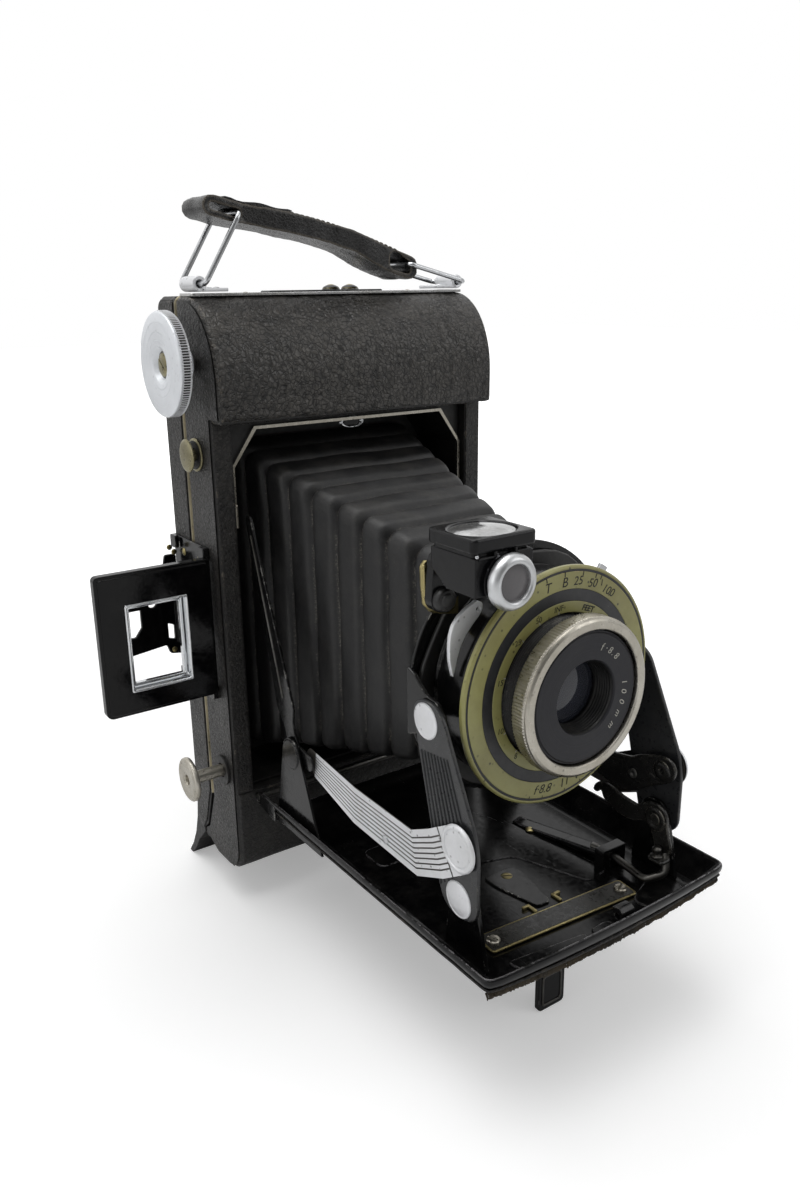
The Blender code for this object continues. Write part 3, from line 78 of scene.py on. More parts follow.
def put(tree, kind, *values, get=None, **settings):
    """Add a node. Small-letter settings are its options, the rest are sockets; returns one output."""
    node = tree.nodes.new("ShaderNode" + kind)
    for option in [s for s in settings if s.islower()]:
        setattr(node, option, settings.pop(option))
    feed(node, *values, **settings)
    outputs = [s for s in node.outputs if s.enabled]
    return next((s for s in outputs if s.name == get), outputs[0] if outputs else None)


def blank(name):
    """New material; returns its node tree and its Principled shader."""
    FINISH[name] = bpy.data.materials.new(name)
    FINISH[name].use_nodes = True
    tree = FINISH[name].node_tree
    return tree, tree.nodes["Principled BSDF"]


def tint(red, green, blue):
    """Colour as a paint chart gives it, 0 to 255, made linear."""
    return tuple(((c / 255 + 0.055) / 1.055) ** 2.4 if c > 10 else c / 255 / 12.92
        for c in (red, green, blue)) + (1,)


def mixed(tree, share, under, over):
    """Mix of two colours, each a socket or three numbers of the paint chart."""
    under, over = [tint(*c) if isinstance(c, tuple) else c for c in (under, over)]
    return put(tree, "Mix", share, data_type="RGBA", A=under, B=over)


def clouds(tree, where, scale, detail, **more):
    return put(tree, "TexNoise", Vector=where, Scale=scale, Detail=detail, **more)


def calc(tree, operation, *values):
    return put(tree, "Math", *values, operation=operation)


def stretch(tree, value, low, high, to_low=0.0, to_high=1.0):
    return put(tree, "MapRange", Value=value, From_Min=low, From_Max=high, To_Min=to_low, To_Max=to_high)


def on_object(tree):
    return put(tree, "TexCoord", get="Object")


print("directions:", UP, FRONT, LEFT, RIGHT)

# %% [markdown]
# ## Stage and light
# A small object on white paper needs one broad lamp above it, a weaker one in front, and bright paper behind.
# The paper's own brightness is given to camera rays only, so it goes white without throwing more light on the
# object, and its shadow stays. Mirrors and clear glass see a white room behind and a dimmer one in front, which
# is what draws the dark and bright bands on polished metal.

# %% Paper, room and lamps
def placed(name, data, matrix):
    """New object in the scene."""
    obj = bpy.data.objects.new(name, data)
    bpy.context.collection.objects.link(obj)
    obj.matrix_world = matrix
    return obj


tree, shader = blank("paper")
where = on_object(tree)
away = put(tree, "VectorMath", where, operation="LENGTH", get="Value")
glow = calc(tree, "MULTIPLY", put(tree, "LightPath", get="Is Camera Ray"),
    stretch(tree, away, 0.16, 0.6, 0.3))
feed(shader, Roughness=0.9, Specular_IOR_Level=0.1, Emission_Color=(1, 1, 1, 1), Emission_Strength=glow,
    Base_Color=mixed(tree, clouds(tree, where, 700.0, 3.0), (232, 232, 232), (240, 240, 240)))
sheet = bmesh.new()
bmesh.ops.create_grid(sheet, x_segments=2, y_segments=2, size=3.0)
paper = bpy.data.meshes.new("paper")
sheet.to_mesh(paper)
sheet.free()
paper.materials.append(FINISH["paper"])
floor = placed("paper", paper, Matrix.Identity(4))

room = bpy.data.worlds.new("room")
bpy.context.scene.world = room
room.use_nodes = True
tree = room.node_tree
depth = stretch(tree, put(tree, "SeparateXYZ", put(tree, "TexCoord", get="Generated"), get="Y"), -0.9, 0.35,
    0.16)
rays = tree.nodes.new("ShaderNodeLightPath").outputs
clear = calc(tree, "MAXIMUM", rays["Is Camera Ray"], rays["Is Transmission Ray"])
mirror = put(tree, "Mix", rays["Is Glossy Ray"], 0.42, depth)
feed(tree.nodes["Background"], Color=(1, 1, 1, 1), Strength=put(tree, "Mix", clear, mirror, 1.0))


def lamp(name, place, target, size, power):
    """Square soft lamp in metres that faces a target."""
    light = bpy.data.lights.new(name, "AREA")
    light.shape = "RECTANGLE"
    light.size, light.size_y = size
    light.energy = power
    facing = (Vector(place) - Vector(target)).to_track_quat("Z", "Y").to_matrix().to_4x4()
    placed(name, light, Matrix.Translation(place) @ facing)


lamp("lamp_top", (-0.15, 0.10, 0.95), (0, -0.03, 0.08), (0.9, 0.7), 5.4)
lamp("lamp_front", (0.62, -0.75, 0.62), (0, -0.05, 0.08), (0.5, 0.7), 1.9)
lamp("lamp_side", (-0.95, -0.15, 0.35), (0, -0.02, 0.09), (0.35, 0.6), 0.7)
bpy.context.scene.view_settings.view_transform = "Standard"

# %% Camera
turn, tilt, roll = radians(-34.71), radians(17.42), radians(-0.8)
back = Vector((sin(turn) * cos(tilt), -cos(turn) * cos(tilt), sin(tilt)))
across = Vector((cos(turn), sin(turn), 0))
rise = back.cross(across)
axes = (across * cos(roll) + rise * sin(roll), rise * cos(roll) - across * sin(roll), back)
lens = bpy.data.cameras.new("camera")
lens.sensor_fit = "VERTICAL"
lens.sensor_height = 36
lens.lens = 29.83
lens.clip_start = 0.01
stand = Matrix.Translation((-0.14043, -0.2367, 0.16355)) @ Matrix(axes).transposed().to_4x4()
bpy.context.scene.camera = placed("camera", lens, stand)
print("camera", lens.lens, "mm")

# %% [markdown]
# ## Shared effects
# Five effects come back on many finishes, so each is a node group that is built once: the grain of leather,
# the bare metal on worn edges, settled dust, hair scratches, and the rings that a lathe leaves. A group only
# gives out masks, heights and normals; the shader itself stays in each material.

# %% Node groups
def effect(name, inputs, outputs):
    """Empty node group; returns it with its inputs and the node that the results go to."""
    group = bpy.data.node_groups.new(name, "ShaderNodeTree")
    for label, kind, value in inputs:
        socket = group.interface.new_socket(label, in_out="INPUT", socket_type="NodeSocket" + kind)
        if kind == "Float":
            socket.default_value = value
    for label, kind in outputs:
        group.interface.new_socket(label, in_out="OUTPUT", socket_type="NodeSocket" + kind)
    return group, group.nodes.new("NodeGroupInput").outputs, group.nodes.new("NodeGroupOutput")


grain, given, result = effect("leather_grain", [("Scale", "Float", 1.0)],
    [("Height", "Float"), ("Crease", "Float")])
where = on_object(grain)
warp = clouds(grain, where, 260.0, 2.0, get="Color")
warped = put(grain, "VectorMath", where, put(grain, "VectorMath", warp, (0.0022, 0.0022, 0.0022),
    operation="MULTIPLY"))
sizes = [calc(grain, "MULTIPLY", given["Scale"], size) for size in (950.0, 2600.0, 1100.0)]
pebble = put(grain, "TexVoronoi", Vector=warped, feature="SMOOTH_F1", Scale=sizes[0], Smoothness=0.35)
fine = clouds(grain, warped, sizes[1], 3.0)
veins = put(grain, "TexVoronoi", Vector=warped, feature="DISTANCE_TO_EDGE", Scale=sizes[2])
crease = stretch(grain, veins, 0.0, 0.12, 1.0, 0.0)
raised = calc(grain, "MULTIPLY_ADD", fine, 0.5, calc(grain, "SUBTRACT", 1.0, pebble))
feed(result, Height=calc(grain, "SUBTRACT", raised, calc(grain, "MULTIPLY", crease, 0.45)), Crease=crease)

wear, given, result = effect("edge_wear", [("Reach", "Float", 0.0004), ("Amount", "Float", 0.5)],
    [("Mask", "Float"), ("Round Normal", "Vector")])
rounded = put(wear, "Bevel", samples=4, Radius=given["Reach"])
flatness = put(wear, "VectorMath", rounded, put(wear, "NewGeometry", get="Normal"), operation="DOT_PRODUCT",
    get="Value")
rub = clouds(wear, on_object(wear), 240.0, 7.0, Roughness=0.7)
rubbed = calc(wear, "MULTIPLY_ADD", given["Amount"], 0.5, calc(wear, "SUBTRACT", rub, 0.75))
bare = calc(wear, "MULTIPLY", stretch(wear, flatness, 0.999, 0.86), stretch(wear, rubbed, 0.0, 0.06))
feed(result, Mask=bare, Round_Normal=rounded)

dust, given, result = effect("settled_dust", [("Amount", "Float", 0.3)], [("Mask", "Float")])
where = on_object(dust)
upward = put(dust, "SeparateXYZ", put(dust, "NewGeometry", get="Normal"), get="Z")
film = clouds(dust, where, 130.0, 8.0, Roughness=0.75)
specks = put(dust, "TexVoronoi", Vector=where, Scale=800.0)
settled = calc(dust, "MULTIPLY", stretch(dust, film, 0.45, 0.8), stretch(dust, upward, -0.3, 0.9, 0.12, 0.6))
grains = calc(dust, "MULTIPLY", stretch(dust, specks, 0.13, 0.05), stretch(dust, film, 0.5, 0.62))
feed(result, Mask=calc(dust, "MULTIPLY", given["Amount"], calc(dust, "MAXIMUM", settled, grains)))

scratch, given, result = effect("hair_scratches", [("Amount", "Float", 0.5)], [("Mask", "Float")])
hairs = []
for turned, size in (((0.3, 0.5, 0.4), (2600.0, 60.0, 60.0)), ((1.1, -0.4, 0.9), (60.0, 60.0, 2300.0))):
    drawn = put(scratch, "Mapping", on_object(scratch), Rotation=turned, Scale=size)
    hairs.append(stretch(scratch, clouds(scratch, drawn, 1.0, 2.0), 0.66, 0.74))
feed(result, Mask=calc(scratch, "MULTIPLY", given["Amount"], calc(scratch, "MAXIMUM", *hairs)))

lathe_marks, given, result = effect("turned_rings", [("Centre", "Vector", None), ("Pitch", "Float", 0.0003)],
    [("Height", "Float"), ("Streak", "Float")])
shifted = put(lathe_marks, "VectorMath", on_object(lathe_marks), given["Centre"], operation="SUBTRACT")
reach = put(lathe_marks, "VectorMath", shifted, operation="LENGTH", get="Value")
turns = calc(lathe_marks, "DIVIDE", reach, given["Pitch"])
feed(result, Height=calc(lathe_marks, "SINE", calc(lathe_marks, "MULTIPLY", turns, 2 * pi)),
    Streak=put(lathe_marks, "TexNoise", W=turns, noise_dimensions="1D", Scale=0.9, Detail=5.0))
print("effects:", [g.name for g in bpy.data.node_groups])

# %% [markdown]
# ## Finishes
# Most of the metal and enamel follows one recipe: the colour and the gloss drift a little, fine grain or
# scratches catch the light, edges are rubbed through to what lies under the coat, and dust sits on top.
# One function holds the recipe, and each finish is one line of its own values.

# %% Metal and enamel finishes
def finish(name, base, second, rough, metallic=0.0, speckle=0.0, bump=0.02, scale=900.0, worn=None, reach=0.35,
           dusty=0.2, scratched=0.3, coat=0.0, shine=0.5):
    """Finish from two colours, a range of roughness, an optional (colour, amount) for its worn edges."""
    tree, shader = blank(name)
    where = on_object(tree)
    drift = clouds(tree, where, 55.0, 7.0, Roughness=0.65)
    fine = clouds(tree, where, scale, 4.0)
    hairs = put(tree, "Group", node_tree=scratch, Amount=scratched)
    film = put(tree, "Group", node_tree=dust, Amount=dusty)
    edge = put(tree, "Group", node_tree=wear, Reach=reach * MM, Amount=worn[1] if worn else 0.0)
    colour = mixed(tree, stretch(tree, drift, 0.35, 0.68), base, second)
    if speckle:
        spots = put(tree, "TexVoronoi", Vector=where, Scale=520.0)
        fleck = calc(tree, "MULTIPLY", stretch(tree, spots, 0.2, 0.08, 0.0, speckle),
            stretch(tree, drift, 0.4, 0.55))
        colour = mixed(tree, fleck, colour, (30, 25, 18))
    gloss = calc(tree, "MULTIPLY_ADD", hairs, 0.2, stretch(tree, fine, 0.3, 0.75, *rough))
    if worn:
        colour = mixed(tree, edge, colour, worn[0])
        gloss = put(tree, "Mix", edge, gloss, 0.34)
        if not metallic:
            feed(shader, Metallic=calc(tree, "MULTIPLY", edge, 0.9))
    if metallic:
        feed(shader, Metallic=calc(tree, "MULTIPLY_ADD", film, -0.8 * metallic, metallic))
    bumped = put(tree, "Bump", Strength=0.5, Distance=bump * MM, Height=calc(tree, "MULTIPLY_ADD", hairs,
        -0.6, fine), Normal=edge.node.outputs["Round Normal"])
    feed(shader, Base_Color=mixed(tree, film, colour, (150, 147, 140)), Normal=bumped, Coat_Weight=coat,
        Roughness=calc(tree, "MULTIPLY_ADD", film, 0.5, gloss), Specular_IOR_Level=shine)


STEEL = (196, 194, 188)
finish("enamel", (7, 7, 8), (14, 14, 15), (0.10, 0.24), worn=(STEEL, 0.42), dusty=0.1, shine=0.32)
finish("enamel_dull", (15, 15, 15), (26, 25, 24), (0.32, 0.5), worn=((150, 146, 136), 0.3), bump=0.05)
finish("body_black", (10, 10, 10), (20, 19, 18), (0.42, 0.62), worn=((140, 136, 126), 0.25), bump=0.06)
finish("chrome", (205, 207, 210), (182, 183, 184), (0.10, 0.24), 1.0, bump=0.008, dusty=0.25, scratched=0.7)
finish("chrome_satin", (214, 216, 218), (190, 191, 191), (0.28, 0.42), 1.0, bump=0.012, dusty=0.2,
    scratched=0.8)
finish("white_satin", (236, 237, 240), (214, 215, 216), (0.34, 0.48), 0.45, bump=0.012, dusty=0.2,
    scratched=0.8, speckle=0.6)
finish("nickel", (190, 186, 176), (160, 154, 140), (0.22, 0.4), 1.0, bump=0.012, speckle=0.5)
finish("brass", (170, 158, 112), (128, 116, 80), (0.24, 0.46), 1.0, bump=0.015, speckle=0.6)
finish("brass_trim", (152, 143, 118), (96, 91, 76), (0.3, 0.5), 1.0, bump=0.02, speckle=0.7, dusty=0.35)
finish("steel", (120, 119, 116), (74, 72, 68), (0.25, 0.45), 1.0, bump=0.02, speckle=0.3)
finish("steel_bright", (176, 176, 174), (140, 139, 135), (0.2, 0.36), 1.0, bump=0.015)
finish("spool_black", (14, 14, 14), (30, 29, 27), (0.3, 0.5), worn=((130, 128, 122), 0.4))
finish("ink_black", (14, 13, 10), (30, 28, 22), (0.5, 0.65), dusty=0.05)
finish("ink_white", (196, 194, 184), (150, 148, 140), (0.5, 0.65), dusty=0.1)
print("finishes:", ", ".join(FINISH))

# %% [markdown]
# ## Bench tools
# Every part of the camera comes from a few workshop methods: a lathe for rings and knobs, a saw and file for
# flat plates, bent wire, and cut letters. Each tool works in millimetres and gives back a bmesh, and one
# function turns a finished bmesh into an object that rides on its body.

# %% Tools for turned shapes
FLATS = {"XY": Matrix.Identity(4), "XZ": Matrix(((1, 0, 0, 0), (0, 0, 1, 0), (0, 1, 0, 0), (0, 0, 0, 1))),
    "YZ": Matrix(((0, 0, 1, 0), (1, 0, 0, 0), (0, 1, 0, 0), (0, 0, 0, 1)))}


def soft_edges(work, size, segments=2, sharp=32):
    """Round the sharp edges of a closed bmesh."""
    edges = [e for e in work.edges if len(e.link_faces) == 2 and e.calc_face_angle() > radians(sharp)]
    bmesh.ops.bevel(work, geom=edges, offset=size * MM, segments=segments, profile=0.5, affect="EDGES",
        material=-1, clamp_overlap=True)
    return work


def station(place, facing=UP, spin=0.0):
    """Place in mm with its own Z turned to face a direction."""
    turned = Vector(facing).to_track_quat("Z", "Y").to_matrix().to_4x4()
    return Matrix.Translation(Vector(place) * MM) @ turned @ Matrix.Rotation(spin, 4, "Z")


def lathe(profile, place, facing, steps=96, soften=0.12):
    """Turn a profile of (radius, reach) in mm; it is closed unless it starts on the axis."""
    work = bmesh.new()
    chain = [work.verts.new((r * MM, 0, h * MM)) for r, h in profile]
    edges = [work.edges.new(pair) for pair in zip(chain, chain[1:] + chain[:int(profile[0][0] > 0)])]
    bmesh.ops.spin(work, geom=chain + edges, cent=(0, 0, 0), axis=(0, 0, 1), angle=2 * pi, steps=steps,
        use_merge=True)
    bmesh.ops.remove_doubles(work, verts=work.verts, dist=1e-7)
    bmesh.ops.recalc_face_normals(work, faces=work.faces)
    if soften:
        soft_edges(work, soften)
    bmesh.ops.transform(work, matrix=station(place, facing), verts=work.verts)
    return work


print("flat planes:", list(FLATS))

# %% Tools for sawn plates
def oblong(left, right, low, high):
    """Corners of a rectangle, or the side profile of a plain ring or pin."""
    return [(left, low), (right, low), (right, high), (left, high)]


def outline(work, corners, rounding):
    """Flat face through corners, each rounded by its own or one radius."""
    verts = [work.verts.new((u * MM, v * MM, 0)) for u, v in corners]
    work.faces.new(verts)
    radii = rounding if isinstance(rounding, (list, tuple)) else [rounding] * len(verts)
    for vert, radius in zip(verts, radii):
        if radius:
            bmesh.ops.bevel(work, geom=[vert], offset=radius * MM, segments=7, profile=0.5, affect="VERTICES",
                material=-1)


def plate(corners, flat, low, high, rounding=0.0, holes=(), soften=0.12):
    """Plate between two levels, with (u, v, radius) holes or (corners, rounding) windows."""
    work = bmesh.new()
    outline(work, corners, rounding)
    for hole in holes:
        if isinstance(hole[0], (list, tuple)):
            outline(work, *hole)
            continue
        u, v, a, b = (*hole, hole[-1])[:4]
        shape = Matrix.Translation((u * MM, v * MM, 0)) @ Matrix.Diagonal((a * MM, b * MM, 1, 1))
        bmesh.ops.create_circle(work, segments=48, radius=1, matrix=shape)
    if holes:
        bmesh.ops.delete(work, geom=list(work.faces), context="FACES_ONLY")
        bmesh.ops.triangle_fill(work, use_beauty=True, edges=list(work.edges))
        bmesh.ops.dissolve_limit(work, angle_limit=radians(0.4), verts=[], edges=list(work.edges))
    bmesh.ops.solidify(work, geom=list(work.faces), thickness=(high - low) * MM)
    sunk = min(v.co.z for v in work.verts)
    bmesh.ops.translate(work, vec=(0, 0, low * MM - sunk), verts=work.verts)
    bmesh.ops.transform(work, matrix=FLATS[flat], verts=work.verts)
    bmesh.ops.recalc_face_normals(work, faces=work.faces)
    return soft_edges(work, soften) if soften else work


def cosd(angle):
    return cos(radians(angle))


def sind(angle):
    return sin(radians(angle))


def beside(side, inner, outer):
    """Levels of a layer on the left or the right side of the camera, the lower one first."""
    return sorted((side * inner, side * outer))


def block(xs, ys, zs, rounding=0.5, soften=0.3):
    """Box with its four upright edges rounded and all edges softened."""
    (x0, x1), (y0, y1), (z0, z1) = xs, ys, zs
    return plate(oblong(x0, x1, y0, y1), "XY", z0, z1, rounding, soften=soften)


print("plates and blocks can be sawn")

# %% Tools for wire, characters and copies
def bent(corners, radius, closed=False, steps=6):
    """Path through corners, each bent like wire round a former."""
    path = []
    for i, corner in enumerate(corners):
        here = Vector(corner)
        if not closed and i in (0, len(corners) - 1):
            path.append(here)
            continue
        before, after = Vector(corners[i - 1]), Vector(corners[(i + 1) % len(corners)])
        start, end = here + (before - here).normalized() * radius, here + (after - here).normalized() * radius
        path += [start.lerp(here, k / steps).lerp(here.lerp(end, k / steps), k / steps)
            for k in range(steps + 1)]
    return path


def meshed(data):
    """Curve or text data as a bmesh."""
    holder = bpy.data.objects.new("holder", data)
    mesh = bpy.data.meshes.new_from_object(holder)
    work = bmesh.new()
    work.from_mesh(mesh)
    bpy.data.objects.remove(holder)
    bpy.data.meshes.remove(mesh)
    return work


def tube(path, radius, closed=False, sides=5):
    """Round wire along a path in mm."""
    curve = bpy.data.curves.new("wire", "CURVE")
    curve.dimensions = "3D"
    curve.bevel_depth = radius * MM
    curve.bevel_resolution = sides
    curve.use_fill_caps = True
    spline = curve.splines.new("POLY")
    spline.points.add(len(path) - 1)
    for point, place in zip(spline.points, path):
        point.co = (*(Vector(place) * MM), 1)
    spline.use_cyclic_u = closed
    return meshed(curve)


def lettering(text, size, slant=0.0, weight=0.0):
    """Thin cut-out characters, centred, in the XY plane."""
    font = bpy.data.curves.new("characters", "FONT")
    font.body = text
    font.size = size * MM
    font.shear = slant
    font.offset = weight * MM
    font.extrude = 0.04 * MM
    font.align_x, font.align_y = "CENTER", "CENTER"
    font.resolution_u = 4
    return meshed(font)


def moved(work, matrix):
    bmesh.ops.transform(work, matrix=matrix, verts=work.verts)
    return work


def together(*works):
    """Several bmeshes as one."""
    whole = works[0]
    for part in works[1:]:
        mesh = bpy.data.meshes.new("part")
        part.to_mesh(mesh)
        part.free()
        whole.from_mesh(mesh)
        bpy.data.meshes.remove(mesh)
    return whole


def softened(node, size=0.2, segments=2):
    """Merged copy of a node of the model with rounded edges."""
    work = bmesh.new()
    work.from_mesh(nodes[node].data)
    bmesh.ops.remove_doubles(work, verts=work.verts, dist=1e-6)
    bmesh.ops.dissolve_limit(work, angle_limit=radians(1), verts=list(work.verts), edges=list(work.edges))
    return soft_edges(work, size, segments)


print("wire can be bent and characters cut")

# %% Tools for rivets, screws and whole pieces
def cap(place, facing, radius, height, crown=0.3):
    """Round rivet head with a crowned top."""
    top = [(radius * k / 6, height - crown * (k / 6) ** 2) for k in range(6)]
    return lathe(top + [(radius * 0.97, height - crown), (radius, height * 0.35), (radius, 0), (0, 0)], place,
        facing, 64, 0)


def ribbed(work, ribs, beyond, press, low=0.0, high=9.0):
    """Press in every second column of a turned rim, which leaves fine straight ribs."""
    for vert in work.verts:
        column = round(atan2(vert.co.y, vert.co.x) / (pi / ribs))
        if low * MM < vert.co.z < high * MM and hypot(vert.co.x, vert.co.y) > beyond * MM and column % 2:
            vert.co.x *= press
            vert.co.y *= press
    return work


def screw(place, facing, radius, height, spin=0.6, slot=0.36):
    """Cheese-head screw: two half heads on a disc leave the slot between them."""
    head = [(0, height), (radius * 0.55, height * 0.98), (radius * 0.88, height * 0.86),
        (radius, height * 0.6), (radius, 0), (0, 0)]
    parts = [lathe(oblong(0, radius * 0.96, height * 0.5, 0), (0, 0, 0), UP, 32, 0)]
    for side in (-1, 1):
        half = lathe(head, ORIGIN, UP, 32, 0)
        kept = bmesh.ops.bisect_plane(half, geom=half.verts[:] + half.edges[:] + half.faces[:], dist=1e-7,
            plane_co=(side * slot / 2 * MM, 0, 0), plane_no=(side, 0, 0), clear_inner=True)["geom_cut"]
        bmesh.ops.contextual_create(half, geom=[g for g in kept if isinstance(g, bmesh.types.BMEdge)])
        parts.append(half)
    return moved(together(*parts), station(place, facing, spin))


def flat_border(edge):
    """Whether an edge parts a wide flat face from its narrow rounding; the flat then stays flat in the light."""
    if len(edge.link_faces) != 2 or edge.calc_face_angle() < radians(1.5):
        return False
    small, wide = sorted(face.calc_area() for face in edge.link_faces)
    return wide > 0.4 * MM ** 2 and wide > 5 * small


def piece(name, body, work, coat, slot, *stands_for, smooth=34):
    """Finish one bmesh or a list as an object that rides on a body and may stand for nodes of the model."""
    work = together(*work) if isinstance(work, list) else work
    bmesh.ops.remove_doubles(work, verts=work.verts, dist=2e-7)
    bmesh.ops.recalc_face_normals(work, faces=work.faces)
    mesh = bpy.data.meshes.new(name)
    borders = [flat_border(edge) for edge in work.edges]
    work.to_mesh(mesh)
    work.free()
    mesh.shade_smooth()
    mesh.set_sharp_from_angle(angle=radians(smooth))
    for edge, border in zip(mesh.edges, borders):
        edge.use_edge_sharp |= border
    mesh.materials.append(FINISH[coat])
    obj = placed(name, mesh, Matrix.Identity(4))
    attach(obj, body)
    if stands_for:
        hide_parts(*stands_for)
    print(name, len(mesh.polygons), "faces on", body)
    return obj


def recoat(coat, *names):
    """Give nodes of the model their finish."""
    for name in names:
        nodes[name].data.materials[0] = FINISH[coat]


print("finishes ready:", len(FINISH))

# %% [markdown]
# ## Body leather
# The body is a thin metal shell covered with glued leather. The leather is a sheet that follows the shell, so
# it is made from the shell's side outline: the outline is stepped off evenly, pushed out by the leather's
# thickness, and drawn across the width. On the round film chamber the old leather has dried into fine upright
# wrinkles, which are real height here; the pebbled grain is too fine for that and comes from the material.

# %% Leather finishes
def leather(name, deep, raised, scale, relief, rough, rub=0.35, streak=0.0, dusty=0.35):
    """Grained leather between the colour of its creases and of its raised grain: the raised grain is painted
    lighter as a painted highlight, and the creases darker as painted shade.
    """
    tree, shader = blank(name)
    where = on_object(tree)
    hide = put(tree, "Group", node_tree=grain, Scale=scale)
    folds = hide.node.outputs["Crease"]
    drift = clouds(tree, where, 70.0, 8.0, Roughness=0.7)
    edge = put(tree, "Group", node_tree=wear, Reach=0.9 * MM, Amount=rub)
    film = put(tree, "Group", node_tree=dust, Amount=dusty)
    drawn = put(tree, "Mapping", where, Scale=(900.0, 70.0, 70.0))
    height = calc(tree, "MULTIPLY_ADD", clouds(tree, drawn, 1.0, 5.0, Roughness=0.6), streak, hide)
    # painted highlight: the raised grain is coloured lighter as if lit, and also drifts at random in tone
    grain_highlight_and_tone = calc(tree, "MULTIPLY", stretch(tree, height, 0.5, 1.25), stretch(tree, drift, 0.3, 0.7, 0.35, 1.0))
    colour = mixed(tree, grain_highlight_and_tone, deep, raised)
    # painted shade: the creases are darkened nearly to black
    colour = mixed(tree, calc(tree, "MULTIPLY", folds, 0.7), colour, (8, 7, 6))
    colour = mixed(tree, edge, colour, (112, 104, 92))
    gloss = calc(tree, "MULTIPLY_ADD", folds, 0.25, stretch(tree, drift, 0.3, 0.75, *rough))
    bumped = put(tree, "Bump", Strength=0.8, Distance=relief * MM, Height=height,
        Normal=edge.node.outputs["Round Normal"])
    feed(shader, Base_Color=mixed(tree, film, colour, (128, 122, 112)), Normal=bumped,
        Roughness=calc(tree, "MULTIPLY_ADD", film, 0.4, gloss))


leather("leather_body", (17, 16, 15), (54, 51, 48), 1.0, 0.2, (0.32, 0.54))
# The film chamber's leather has a lighter raised colour than the body's: a painted highlight on the lit chamber,
# besides its own wrinkles and streaks.
leather("leather_chamber", (18, 17, 16), (74, 71, 67), 0.8, 0.34, (0.2, 0.42), streak=0.6, rub=0.5)
leather("leather_strap", (9, 9, 9), (26, 24, 22), 1.3, 0.04, (0.16, 0.32), rub=0.9, dusty=0.1)

print("leather:", [name for name in FINISH if "leather" in name])

# %% Leather sheets
SKIN = 0.3


def paced(path, step):
    """Even steps along a path of points."""
    path = [Vector(p) for p in path]
    lengths = [(b - a).length for a, b in zip(path, path[1:])]
    count = max(2, round(sum(lengths) / step))
    points, leg, gone = [], 0, 0.0
    for k in range(count + 1):
        along = sum(lengths) * k / count
        while leg < len(lengths) - 1 and along > gone + lengths[leg]:
            gone += lengths[leg]
            leg += 1
        points.append(path[leg].lerp(path[leg + 1], min(1, (along - gone) / lengths[leg])))
    return points


def hide_over(path, half, cell, wrinkle, ends=0.0, low=None):
    """Leather over a side outline of (y, z), from -half to half across, with its wrinkles as real height."""
    points = paced(path, cell)
    low = -half if low is None else low
    work = bmesh.new()
    chain = [work.verts.new((low * MM, y * MM, z * MM)) for y, z in points]
    edges = [work.edges.new(pair) for pair in zip(chain, chain[1:])]
    columns = [chain]
    count = round((half - low) / cell)
    for i in range(count):
        grown = bmesh.ops.extrude_edge_only(work, edges=edges)["geom"]
        edges = [g for g in grown if isinstance(g, bmesh.types.BMEdge) and all(v in grown for v in g.verts)]
        fresh = [g for g in grown if isinstance(g, bmesh.types.BMVert)]
        edges = [e for e in edges if len(e.link_faces) == 1]
        bmesh.ops.translate(work, vec=((half - low) / count * MM, 0, 0), verts=fresh)
        order = {round(v.co.y, 8) * 1e4 + round(v.co.z, 8): v for v in fresh}
        columns.append([order[round(v.co.y, 8) * 1e4 + round(v.co.z, 8)] for v in chain])
    last = len(points) - 1
    for i, column in enumerate(columns):
        x = low + (half - low) * i / count
        inward = max(0.0, ends - (half - abs(x))) if ends else 0.0
        drop = ends - (max(0.0, ends ** 2 - inward ** 2)) ** 0.5 if ends else 0.0
        for k, vert in enumerate(column):
            run = points[min(k + 1, last)] - points[max(k - 1, 0)]
            out = Vector((0, run.y, -run.x)).normalized()
            lift = SKIN - drop + wrinkle(x, k * cell) * min(1, (half - abs(x)) / 3, k / 3, (last - k) / 3)
            vert.co += out * lift * MM
    bmesh.ops.recalc_face_normals(work, faces=work.faces)
    bmesh.ops.solidify(work, geom=list(work.faces), thickness=SKIN * 1.2 * MM)
    return work


print("leather is", SKIN, "mm thick")

# %% Front leather over the film chamber, rails and lower chamber
def dried(x, s):
    """Upright wrinkles of old leather, from fine cracks and slow swells."""
    crack = 1 - abs(noise.noise((x * 0.75, s * 0.11, 1.7))) * 2.4
    knot = noise.noise((x * 0.5, s * 0.42, 8.3))
    swell = noise.noise((x * 0.09, s * 0.08, 4.1))
    return 0.13 * max(crack, -0.4) + 0.12 * knot + 0.22 * swell


def grainy(x, s):
    return 0.05 * noise.noise((x * 0.6, s * 0.6, 2.2)) + 0.08 * noise.noise((x * 0.12, s * 0.12, 5.5))


BODY_HALF = 41.1
LENS_Z = 81.6
BULGE = [(-4.4 - 16 * sind(t), 142 + 20 * cosd(t)) for t in range(0, 91, 3)]
upper = [(-0.9, 162.0)] + BULGE + [(-20.4, 134.6), (-20.1, 133.8), (-19.4, 133.4), (-15.6, 133.4)]
lower = [(-15.1, 34.2), (-15.1, 16.8)] + [(-8.1 - 7 * cosd(t), 16.8 - 7 * sind(t))
    for t in range(6, 91, 6)] + [(-0.9, 9.8)]
piece("chamber_leather", "body", hide_over(upper, BODY_HALF, 0.62, dried, ends=0.9), "leather_chamber",
    "leather")
piece("lower_leather", "body", hide_over(lower, BODY_HALF, 1.0, grainy, ends=0.9), "leather_body", "leather")
for side, name in SIDES:
    strip = hide_over([(-15.1, 133.2), (-15.1, 34.6)], side * 38.6 + 2.3, 1.0, lambda x, s: 0.0,
        low=side * 38.6 - 2.3)
    piece("rail_leather_" + name, "body", strip, "leather_body", "leather")

